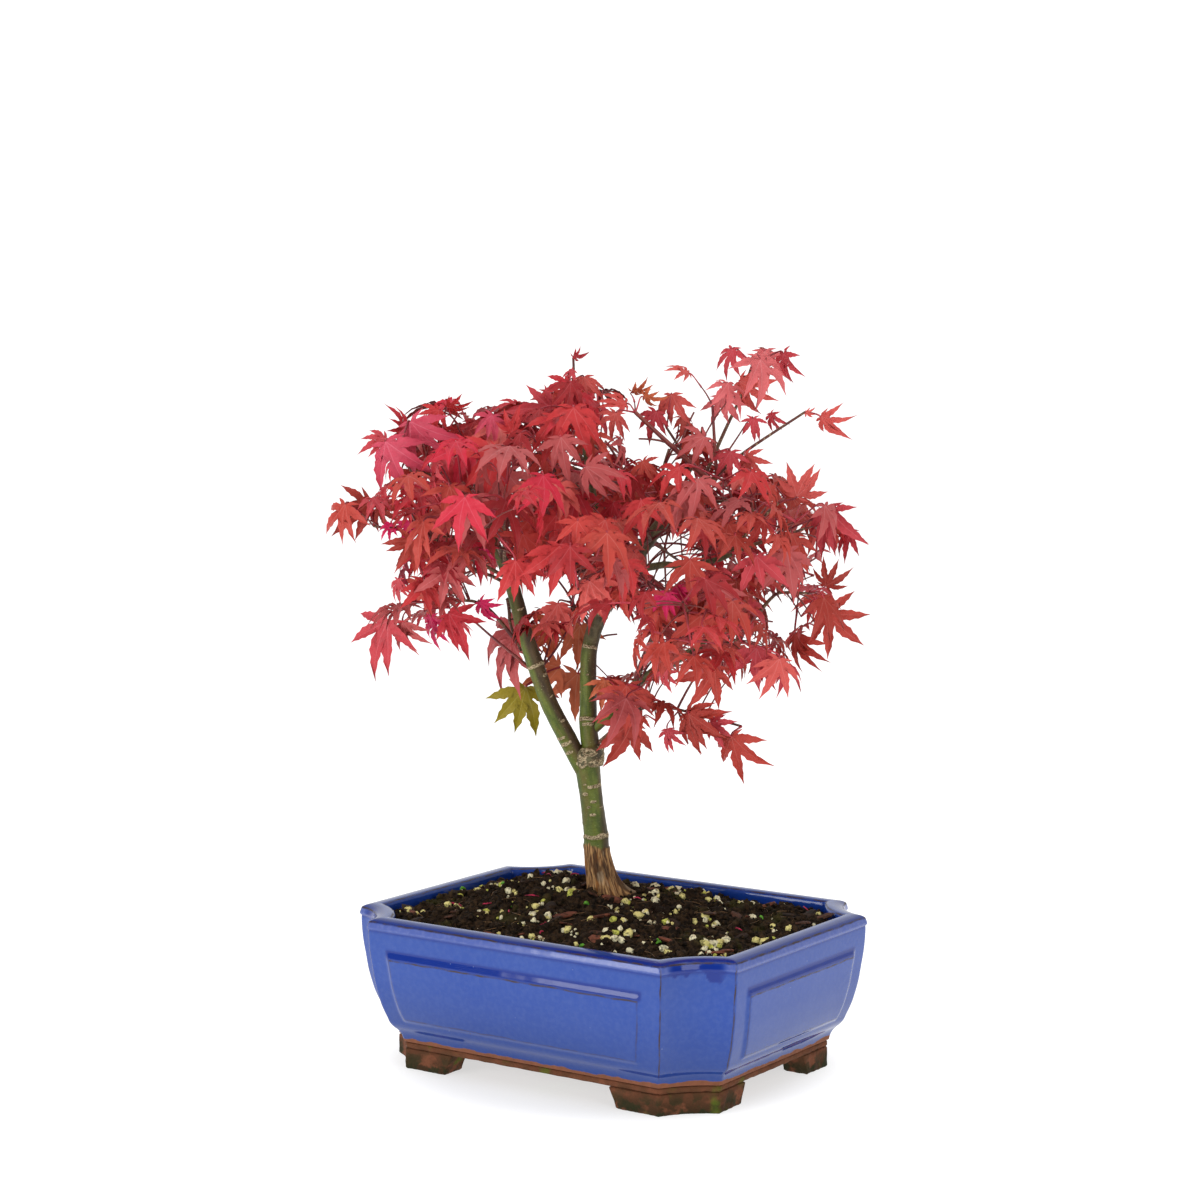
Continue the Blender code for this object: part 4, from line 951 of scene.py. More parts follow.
def joined(parts):
    """Several pieces' points, faces by their number of corners, and values, put end to end."""
    first, points, faces, caps, values = 0, [], [], [], []
    for part_points, part_faces, part_caps, part_values in parts:
        points.append(part_points)
        faces.append(part_faces + first)
        caps.append(part_caps + first)
        values.append(part_values)
        first += len(part_points)
    return (np.vstack(points), [np.vstack(faces), np.vstack(caps)],
            {title: np.concatenate([value[title] for value in values]) for title in values[0]})


bark, tree, shader = new_look("green bark", 0.55, Specular_IOR_Level=0.35)
straight = own(tree, "straight", "Vector")
cork, peel, age, sunless = (own(tree, title) for title in ("cork", "peel", "age", "sunless"))


def along_grain(size, stretch, detail=3.0):
    """Noise on the limb's own straightened coordinates, drawn out along it."""
    spot = put(tree, "VectorMath", {0: straight, 1: (1, 1, stretch)}, operation="MULTIPLY")
    return put(tree, "TexNoise", {"Vector": spot, "Scale": 1 / size, "Detail": detail})


fresh = mixed(tree, ranged(tree, along_grain(3.0, 0.25), 0.3, 0.7), srgb(68, 84, 22), srgb(104, 116, 40))
umber = ranged(tree, along_grain(7.0, 0.3), 0.44, 0.6)
fresh = mixed(tree, times(tree, umber, 0.6), fresh, srgb(100, 80, 34))
# Painted shade: the browner, darker bark on each limb's side away from the light.
shaded = mixed(tree, ranged(tree, along_grain(2.0, 0.3), 0.3, 0.7), srgb(62, 42, 30), srgb(88, 66, 44))
grey = mixed(tree, ranged(tree, along_grain(2.2, 0.5), 0.3, 0.7), srgb(72, 64, 46), srgb(112, 104, 76))
skin = mixed(tree, times(tree, sunless, 0.92), fresh, shaded)
skin = mixed(tree, age, skin, grey)
flecks = ranged(tree, along_grain(0.9, 1.6, 1.0), 0.70, 0.76)
skin = mixed(tree, times(tree, flecks, 0.5), skin, srgb(170, 165, 120))
wrinkles = along_grain(1.6, 4.0, 4.0)
skin = mixed(tree, ranged(tree, wrinkles, 0.5, 0.7, 0.0, 0.45), skin, srgb(52, 56, 22))
strands = ranged(tree, along_grain(0.8, 2.2, 3.0), 0.38, 0.56)
corky = mixed(tree, strands, srgb(96, 76, 50), srgb(206, 188, 150))
skin = mixed(tree, ranged(tree, cork, 0.25, 0.6), skin, corky)
fibres = ranged(tree, along_grain(0.75, 0.12, 5.0), 0.34, 0.66)
wood = mixed(tree, fibres, srgb(88, 58, 34), srgb(198, 152, 100))
for size, stretch, low, high, share, tint in ((3.0, 0.2, 0.52, 0.62, 0.75, (150, 92, 36)),
                                             (4.0, 0.25, 0.55, 0.63, 0.75, (48, 32, 22)),
                                             (5.0, 0.3, 0.62, 0.70, 0.4, (190, 168, 136))):
    streak = ranged(tree, along_grain(size, stretch), low, high)
    wood = mixed(tree, times(tree, streak, share), wood, srgb(*tint))
skin = mixed(tree, peel, skin, wood)
painted(tree, shader, skin)
tree.links.new(ranged(tree, most(tree, peel, cork), 0.0, 1.0, 0.5, 0.85), shader.inputs["Roughness"])
relief = plus(tree, times(tree, fibres, most(tree, peel, 0.1)), times(tree, strands, cork))
bumped(tree, shader, plus(tree, relief, times(tree, wrinkles, 0.5)), 0.34)

limbs = {"trunk": TRUNK, **LIMBS}
points, faces, values = joined([swept_wood(name, limbs[name], 1 + i) for i, name in enumerate(limbs)])
make_piece("wood", points, faces, [bark], list(limbs), values=values)


# ---- the twigs and leaf stalks
# Each mass of the crown grows from one stem by a seeded rule: side twigs in pairs, each pair
# turned from the last, a leaf on its stalk either side of a twig's end.  The rule's first growth
# is that of the solids; finer twigs and smaller leaves then fill what room is left.
TWIG_SIDES = 3
LIMB_STEP = 6
LIMB_ROOM = 0.1
LOBE_TURNS = (0, 39, 80)
LOBE_REACHES = (1.0, 0.92, 0.68)
NOTCH_REACHES = (0.43, 0.39)
LEAF_BASE_TURN, LEAF_BASE = 148, 0.20
LEAF_DROOP = 0.22
LEAF_THICK = 0.036
LEAF_ROOM = 1.05
LEAF_SIZES = (0.82, 1.08)
LEAF_FALLS = (12, 78)
LEAF_YAW, LEAF_ROLL = 30, 22
PETIOLE = 0.95
PETIOLE_REACHES = (0.5, 1.0)
PETIOLE_LIFTS = (0.05, 0.75)
PETIOLE_FORWARD, PETIOLE_LEAN = 0.45, 0.45
TWIG_ROOT, TWIG_TIP = 2.0, 1.3
TWIG_ENDS = (1.0, 0.85, 0.7)
TWIG_ARCH = 0.09
TWIG_REACHES = (0.55, 1.0)
TWIG_FORWARD, TWIG_LIFT = 0.5, 0.35
PAIR_PLAY = 0.3
STEM_ENDS = (1.0, 0.95, 0.85)
STEM_ARCH, STEM_BEND, STEM_BEND_RISE, STEM_PLAY = 0.10, 0.55, 0.02, 0.12
LAST_PAIR, ONLY_PAIR = 0.98, 0.97
TRIES = 9
CROWN_REACH = 110.5
UP = Vector((0, 0, 1))

Mass = namedtuple("Mass", "name limb along tip nodes bare leaf seed")
# Each tip was chosen one by one.  A search program then moved 44 of the 45, by up to 10 mm across
# and 12 mm in height, and chose the seeds.  The seeds of whorl_under and front_middle were
# replaced afterwards.
MASSES = [Mass(*row) for row in (
    ("top_shoot", "top_bough", 1.0, (-18, -16, 334), 1, 0.5, 12, 712),
    ("whorl_top", "leader", 1.0, (66, -14, 330), 1, 0.6, 25, 330),
    ("whorl_right", "leader", 0.955, (90, 4, 309), 1, 0.6, 17, 581),
    ("whorl_left", "leader", 0.975, (26, -6, 301), 2, 0.65, 24, 152),
    ("whorl_middle", "leader", 0.94, (42, 8, 302), 1, 0.5, 26, 884),
    ("far_left", "left_bough", 0.83, (-111, 6, 256), 2, 0.62, 26, 115),
    ("lower_left", "left_bough", 0.45, (-93, -4, 219), 2, 0.62, 28, 692),
    ("lower_left_inner", "left_bough", 0.6, (-43, -14, 195), 1, 0.5, 24, 896),
    ("low_back_left", "left_bough", 0.3, (-38, -36, 182), 1, 0.5, 28, 342),
    ("low_right", "leader", 0.135, (61, 8, 162), 3, 0.3, 25, 546),
    ("low_front", "right_bough", 0.3, (14, 14, 181), 1, 0.5, 28, 528),
    ("right_under", "right_bough", 0.74, (59, 14, 204), 1, 0.5, 29, 393),
    ("right_lower", "right_bough", 1.0, (92, 12, 225), 2, 0.5, 29, 218),
    ("right_far", "right_branch", 1.0, (90, 8, 255), 2, 0.5, 28, 75),
    ("right_upper", "right_branch", 0.92, (78, 6, 267), 2, 0.5, 27, 795),
    ("whorl_back", "leader", 0.9, (28, -50, 289), 2, 0.5, 25, 470),
    ("top_middle", "top_bough", 0.93, (-29, -12, 300), 2, 0.4, 26, 245),
    ("upper_left_top", "left_bough", 0.96, (-67, -10, 287), 2, 0.5, 28, 906),
    ("upper_left_tip", "left_bough", 1.0, (-94, 4, 282), 2, 0.5, 28, 565),
    ("top_left_front", "top_bough", 0.66, (-27, 26, 285), 2, 0.5, 28, 157),
    ("top_right_front", "top_bough", 0.74, (-9, 22, 278), 2, 0.5, 28, 573),
    ("left_middle", "left_bough", 0.72, (-85, 16, 253), 2, 0.55, 28, 247),
    ("upper_left_front", "left_bough", 0.88, (-77, 38, 270), 2, 0.5, 29, 311),
    ("centre_low", "leader", 0.56, (-19, -2, 218), 2, 0.5, 25, 649),
    ("behind_trunk", "leader", 0.42, (-16, -58, 188), 2, 0.55, 26, 408),
    ("right_inner", "right_bough", 0.5, (26, 22, 228), 2, 0.5, 27, 917),
    ("right_lower_front", "right_bough", 0.85, (59, 46, 206), 2, 0.5, 29, 628),
    ("right_front", "right_branch", 0.75, (44, 50, 246), 2, 0.5, 29, 798),
    ("whorl_under", "leader", 0.92, (66, 32, 264), 2, 0.5, 28, 601),
    ("inner_front", "leader", 0.77, (15, 34, 256), 2, 0.5, 29, 292),
    ("centre_front", "leader", 0.62, (-21, 38, 240), 2, 0.5, 29, 539),
    ("centre_left", "left_bough", 0.79, (-46, 26, 245), 2, 0.5, 28, 28),
    ("front_middle", "leader", 0.7, (-15, 72, 233), 2, 0.5, 29, 390),
    ("front_left", "left_bough", 0.76, (-58, 74, 259), 2, 0.5, 29, 320),
    ("front_right", "right_bough", 0.66, (31, 80, 228), 2, 0.5, 29, 479),
    ("upper_left_back", "left_bough", 0.92, (-82, -52, 279), 2, 0.5, 29, 572),
    ("left_middle_back", "left_bough", 0.67, (-75, -54, 234), 2, 0.55, 28, 754),
    ("top_left_back", "top_bough", 0.8, (-34, -62, 283), 2, 0.5, 28, 879),
    ("top_right_back", "top_bough", 0.87, (-4, -58, 290), 2, 0.5, 27, 313),
    ("right_back", "right_branch", 0.84, (61, -62, 246), 2, 0.5, 29, 629),
    ("right_lower_back", "right_bough", 0.92, (57, -56, 197), 2, 0.5, 28, 156),
    ("inner_back", "leader", 0.8, (37, -68, 231), 2, 0.5, 28, 195),
    ("centre_back", "back_bough", 1.0, (-23, -94, 244), 2, 0.4, 29, 698),
    ("centre_back_left", "back_bough", 0.8, (-35, -80, 240), 2, 0.5, 29, 875),
    ("centre_back_right", "back_bough", 0.9, (22, -92, 239), 2, 0.5, 28, 839),
)]


def place(across, depth, height):
    """A place given in the tree's own front, as a vector in the pot's axes."""
    return Vector(placed(float(across), float(depth), float(height)))


def path_through(points):
    """A limb's smooth path as (place, diameter) pairs."""
    values = [list(place(*p[:3])) + [p[3]] for p in points]
    values = [values[0]] + values + [values[-1]]
    path = []
    for i in range(1, len(values) - 2):
        a, b, c, d = values[i - 1:i + 3]
        for k in range(LIMB_STEP):
            t = k / LIMB_STEP
            path.append([0.5 * (2 * q + (r - p) * t + (2 * p - 5 * q + 4 * r - s) * t * t
                                + (3 * q - p - 3 * r + s) * t ** 3)
                         for p, q, r, s in zip(a, b, c, d)])
    path.append(values[-1])
    return [(Vector(p[:3]), p[3]) for p in path]


def loft(rings):
    """Points and faces of a closed solid through rings that have the same number of points."""
    count = len(rings[0])
    points = [p for ring in rings for p in ring]
    faces = [tuple(range(count))[::-1]]
    for r in range(len(rings) - 1):
        low, high = r * count, (r + 1) * count
        for i in range(count):
            j = (i + 1) % count
            faces.append((low + i, low + j, high + j, high + i))
    last = (len(rings) - 1) * count
    faces.append(tuple(range(last, last + count)))
    return points, faces


def tube(path, sides, grow=0.0):
    """Points and faces of a tapering tube along (place, diameter) pairs, its ends closed."""
    rings = []
    side = None
    for i, (here, width) in enumerate(path):
        along = (path[min(i + 1, len(path) - 1)][0] - path[max(i - 1, 0)][0]).normalized()
        if side is None:
            side = along.orthogonal().normalized()
        side = (side - along * side.dot(along)).normalized()
        other = along.cross(side)
        middle = here + along * (grow if i == len(path) - 1 else -grow if i == 0 else 0)
        reach = width / 2 + grow
        rings.append([middle + side * (reach * math.cos(turn)) + other * (reach * math.sin(turn))
                      for turn in (2 * math.pi * k / sides for k in range(sides))])
    return loft(rings)


def leaf_solid(hub, along, face, size, node, grow=0.0):
    """The room that a leaf and its stalk take: a star under and over its hub, and a tube to its
    node.  Also gives the number of the blade's faces."""
    across = face.cross(along)
    turns = [(LEAF_BASE_TURN, LEAF_BASE)]
    lobes = list(zip(LOBE_TURNS, LOBE_REACHES))
    for i in range(len(lobes) - 1, 0, -1):
        turns.append((lobes[i][0], lobes[i][1]))
        turns.append(((lobes[i][0] + lobes[i - 1][0]) / 2, NOTCH_REACHES[i - 1]))
    outline_turns = [(-t, r) for t, r in turns] + [(0, 1.0)] + turns[::-1]
    swell = LEAF_ROOM if grow else 1
    points = []
    for turn, reach in outline_turns:
        r = reach * size * swell
        t = math.radians(turn)
        points.append(hub + along * (r * math.cos(t)) + across * (r * math.sin(t))
                      - face * (LEAF_DROOP * reach * reach * size))
    count = len(points)
    thick = LEAF_THICK * size / 2 + grow
    top, bottom = count, count + 1
    points += [hub + face * thick, hub - face * thick]
    faces = [(top, i, (i + 1) % count) for i in range(count)]
    faces += [(bottom, i + 1, i) for i in range(count - 1)]
    blade = len(faces)
    ring = [bottom, 0, count - 1]
    start = (points[bottom] + points[0] + points[count - 1]) / 3
    away = (node - start).normalized()
    first = points[bottom] - start
    first = (first - away * first.dot(away)).normalized()
    second = away.cross(first)
    if (points[0] - points[count - 1]).dot(second) < 0:
        second = -second
    half = PETIOLE / 2 + grow
    new = []
    for turn in (0, 120, 240):
        t = math.radians(turn)
        points.append(node + first * (half * math.cos(t)) + second * (half * math.sin(t)))
        new.append(len(points) - 1)
    for i in range(3):
        j = (i + 1) % 3
        faces.append((ring[i], ring[j], new[j]))
        faces.append((ring[i], new[j], new[i]))
    faces.append(tuple(new[::-1]))
    return points, faces, blade


class Room:
    """What is already in the crown, so that a new leaf or twig can be kept off it."""

    def __init__(self, paths):
        self.taken = []
        for path in paths.values():
            end, width = path[-1]
            along = (end - path[-2][0]).normalized()
            rounded = path + [(end + along * (width * step), width * share) for step, share in LIMB_END]
            self.add(*tube(rounded, 16, LIMB_ROOM))
        self.limbs = list(range(len(self.taken)))

    def add(self, points, faces):
        """Takes up a piece's room and returns the piece's number."""
        middle = sum(points, Vector()) / len(points)
        reach = max((p - middle).length for p in points)
        self.taken.append((middle, reach, BVHTree.FromPolygons(points, faces)))
        return len(self.taken) - 1

    def free(self, points, faces, skip=()):
        """Whether a piece touches nothing that is there, apart from the pieces to skip."""
        middle = sum(points, Vector()) / len(points)
        reach = max((p - middle).length for p in points)
        shape = None
        for i, (other, other_reach, tree) in enumerate(self.taken):
            if i in skip or (middle - other).length > reach + other_reach:
                continue
            shape = shape or BVHTree.FromPolygons(points, faces)
            if shape.overlap(tree):
                return False
        return True


def grow_stem(chance, path, along, tip, room):
    """An arched stem from just clear of the limb's skin to its tip, bent until it touches nothing."""
    here, width = path[round(along * (len(path) - 1))]
    towards = (tip - here).normalized()
    if along < 1:
        i = round(along * (len(path) - 1))
        limb = (path[i + 1][0] - path[i - 1][0]).normalized()
        towards = (towards - limb * towards.dot(limb)).normalized()
    length = (tip - here).length
    for _ in range(TRIES):
        aside = Vector([chance.uniform(-STEM_PLAY, STEM_PLAY) for _ in range(3)])
        root = here + towards * (width / 2 + GAP)
        middle = root.lerp(tip, 0.5) + (UP * STEM_ARCH + aside) * length
        bend = root.lerp(middle, STEM_BEND) + UP * (STEM_BEND_RISE * length)
        slant = towards.cross((bend - root).normalized()).length
        root += towards * (TWIG_ROOT / 2 * slant)
        widths = [TWIG_ROOT * share for share in STEM_ENDS] + [TWIG_TIP]
        stem = list(zip((root, bend, middle, tip), widths))
        if room.free(*tube(stem, TWIG_SIDES, GAP), room.limbs) and room.free(*tube(stem, TWIG_SIDES)):
            return stem
    return None


def fits(points):
    """Whether a piece stays within the crown's reach."""
    return all(abs(p.x) < CROWN_REACH and abs(p.y) < CROWN_REACH for p in points)


def grow_leaf(chance, node, outward, along, size, room, skip, allowed=fits):
    """A leaf from a node, turned until it touches nothing, or None."""
    for _ in range(TRIES):
        lift = chance.uniform(*PETIOLE_LIFTS)
        lean = Vector([chance.uniform(-PETIOLE_LEAN, PETIOLE_LEAN) for _ in range(3)])
        away = (outward + along * PETIOLE_FORWARD + UP * lift + lean).normalized()
        length = size * chance.uniform(*PETIOLE_REACHES)
        fall = math.radians(chance.uniform(*LEAF_FALLS))
        yaw = math.radians(chance.uniform(-LEAF_YAW, LEAF_YAW))
        roll = math.radians(chance.uniform(-LEAF_ROLL, LEAF_ROLL))
        reach = size * chance.uniform(*LEAF_SIZES)
        flat = Vector((away.x, away.y, 0))
        if flat.length < 0.1:
            continue
        flat.normalize()
        flat = Vector((flat.x * math.cos(yaw) - flat.y * math.sin(yaw),
                       flat.x * math.sin(yaw) + flat.y * math.cos(yaw), 0))
        down = flat * math.cos(fall) - UP * math.sin(fall)
        face = flat * math.sin(fall) + UP * math.cos(fall)
        face = face * math.cos(roll) + down.cross(face) * math.sin(roll)
        hub = node + away * length
        points, faces, blade = leaf_solid(hub, down, face, reach, node, GAP)
        if not allowed(points):
            continue
        if not room.free(points, faces, skip) or not room.free(points, faces[:blade]):
            continue
        return hub, down, face, reach, node
    return None


def grow_twig(start, end, width, room, skip):
    """A slightly arched twig between two points as a tube's path, or None where it would touch."""
    middle = start.lerp(end, 0.5) + UP * (TWIG_ARCH * (end - start).length)
    path = [(here, width * share) for here, share in zip((start, middle, end), TWIG_ENDS)]
    points, faces = tube(path, TWIG_SIDES, GAP)
    if not room.free(points, faces, skip):
        return None
    return path


def grow_side_twig(chance, node, outward, along, size, reaches, width, room, wood):
    """A twig that leaves its stem outwards, a little forwards and up."""
    way = (outward + along * TWIG_FORWARD + UP * TWIG_LIFT).normalized()
    return grow_twig(node, node + way * (size * chance.uniform(*reaches)), width, room, wood)


def stem_frame(root, middle, tip, share):
    """The place at a share of a stem, the stem's way there and two directions across it."""
    if share > 0.5:
        node, along = middle.lerp(tip, share * 2 - 1), (tip - middle).normalized()
    else:
        node, along = root.lerp(middle, share * 2), (middle - root).normalized()
    first = along.orthogonal().normalized()
    return node, along, first, along.cross(first)


def twig_end(twig):
    """The end of a twig, its way there and the level direction across it."""
    way = (twig[2][0] - twig[1][0]).normalized()
    return twig[2][0], way, way.cross(UP).normalized()


def grow_mass(mass, paths, room):
    """One mass as the solids have it: its twigs' paths, its leaves with the number of the spray
    that each belongs to, and what it has taken of the room."""
    chance = random.Random(mass.seed)
    tip = place(*mass.tip)
    stem = grow_stem(chance, paths[mass.limb], mass.along, tip, room)
    root, middle = stem[0][0], stem[2][0]
    twigs, leaves = [stem], []
    wood = [room.add(*tube(stem, TWIG_SIDES))]
    held = list(wood)
    turn = chance.uniform(0, math.pi)
    spray = 0
    for n in range(mass.nodes):
        share = mass.bare + (1 - mass.bare) * (n / max(1, mass.nodes - 1)) * LAST_PAIR
        if mass.nodes == 1:
            share = ONLY_PAIR
        node, along, first, second = stem_frame(root, middle, tip, share)
        for half in (0, 1):
            angle = turn + math.pi * half + chance.uniform(-PAIR_PLAY, PAIR_PLAY)
            outward = first * math.cos(angle) + second * math.sin(angle)
            twig = None
            if n < mass.nodes - 1:
                twig = grow_side_twig(chance, node, outward, along, mass.leaf, TWIG_REACHES,
                                      TWIG_TIP, room, wood)
            if twig is None:
                starts = [(node, outward, along)]
            else:
                twigs.append(twig)
                wood.append(room.add(*tube(twig, TWIG_SIDES)))
                held.append(wood[-1])
                end, way, side = twig_end(twig)
                starts = [(end, side, way), (end, -side, way)]
            for start, out, forward in starts:
                leaf = grow_leaf(chance, start, out, forward, mass.leaf, room, held)
                if leaf:
                    leaves.append((leaf, spray))
                    held.append(room.add(*leaf_solid(*leaf)[:2]))
            spray += 1
        turn += math.pi / 2
    return twigs, leaves, wood, held


paths = {name: path_through(points) for name, points in limbs.items()}
room = Room(paths)
grown = {mass: grow_mass(mass, paths, room) for mass in MASSES}

# Finer growth, kept out of the gaps through which sky shows from the tree's front.  A gap is
# (left, right, low, high) as seen by the camera on the plane through the pot's middle.  The last
# fifteen, from (51, 70, 163, 175) on, were found by a search program and not chosen by hand.
SKY_GAPS = ((-27, -16, 213, 227), (16, 32, 284, 303), (-1, 16, 184, 208), (-17, -8, 154, 176),
            (-25, -11, 186, 197), (-58, -44, 203, 226), (-76, -48, 142, 199), (26, 76, 128, 154),
            (-5, 19, 94, 137), (0, 14, 321, 362), (26, 48, 331, 362), (93, 129, 291, 324),
            (-134, -98, 220, 253), (-143, -118, 171, 220), (-114, -104, 270, 289), (24, 41, 229, 247),
            (80, 94, 205, 216), (123, 143, 238, 276), (119, 143, 171, 199), (98, 129, 142, 188),
            (66, 119, 151, 171), (78, 110, 123, 151), (-54, -25, 315, 328), (-119, -106, 290, 304),
            (-143, 143, 340, 457), (-129, -62, 315, 347), (-5, 6, 325, 347), (-62, -17, 94, 149),
            (112, 125, 304, 362), (-110, -84, 142, 171), (-34, -4, 327, 345), (74, 92, 281, 294),
            (95, 120, 267, 294), (48, 77, 154, 168), (117, 143, 218, 234), (124, 143, 218, 304),
            (9, 21, 301, 313), (18, 28, 296, 304), (26, 35, 286, 296), (26, 43, 172, 178),
            (-41, -26, 168, 190), (51, 70, 163, 175), (108, 121, 225, 237), (-48, -42, 205, 219),
            (47, 53, 297, 307), (38, 46, 309, 316), (33, 43, 170, 181), (43, 51, 166, 173),
            (-87, -82, 190, 206), (113, 123, 193, 204), (118, 129, 211, 224), (-65, -61, 212, 226),
            (100, 106, 186, 202), (-24, -15, 185, 192), (-33, -16, 218, 225), (-121, -112, 244, 254))
OPEN_MASSES = ("top_shoot", "whorl_top", "whorl_right", "whorl_left", "whorl_middle")
TRUE_SHARES = (0.7, 0.92)
SMALLER_SHARES = (1.0, 0.86, 0.72, 0.6)
FINE_TRIES, FEW_TRIES = 22, 2
FINE_LEAVES = (0.5, 0.86)
FINE_TWIGS = (0.4, 0.9)
FINE_WIDTH = 0.9
FINE_SPAN = (0.42, 1.0)             # the stretch of a stem that bears finer twigs
FIRST_FINE_SPRAY = 10               # sprays of finer growth are numbered from here
FINE_SEED, SHRINK_SEED = 5000, 900
TIP_KEPT = 0.85                     # how much of a leaf's shrinking is made up at its hub
BETWEEN = (0.35, 0.7)               # places tested between a leaf's points and its hub

# Long shoots and the leaves that give the crown its outline and front, each at its own place.  A shoot is
# three places and a width.  A leaf is its hub's place, its size, how far its midrib leans to the
# right of straight down, tilts towards the front and rolls on its midrib, and its colour.
SHOOTS = (
    ((46, 2, 277), (28, 6, 293), (11, 8, 309), 2.9),
    ((49, 2, 280), (48, 2, 295), (47, 0, 312), 1.9),
    ((51, -6, 285), (58, -6, 295), (63, -6, 303), 1.0),
    ((-86, 16, 264), (-94, 16, 275), (-101, 14, 283), 1.4),
    ((6, 14, 281), (2, 13, 289), (-3, 12, 296), 1.5),
    ((-40, -14, 188), (-54, -8, 200), (-67, 0, 213), 1.5),
    ((-32, -18, 189), (-30, -20, 196), (-28, -22, 202), 1.2),
    ((-32, -18, 188), (-26, -22, 195), (-21, -24, 204), 1.3),
    ((11, -10, 181), (14, -8, 191), (18, -4, 201), 2.0),
    ((15, -8, 185), (19, -8, 191), (24, -6, 196), 1.1),
)
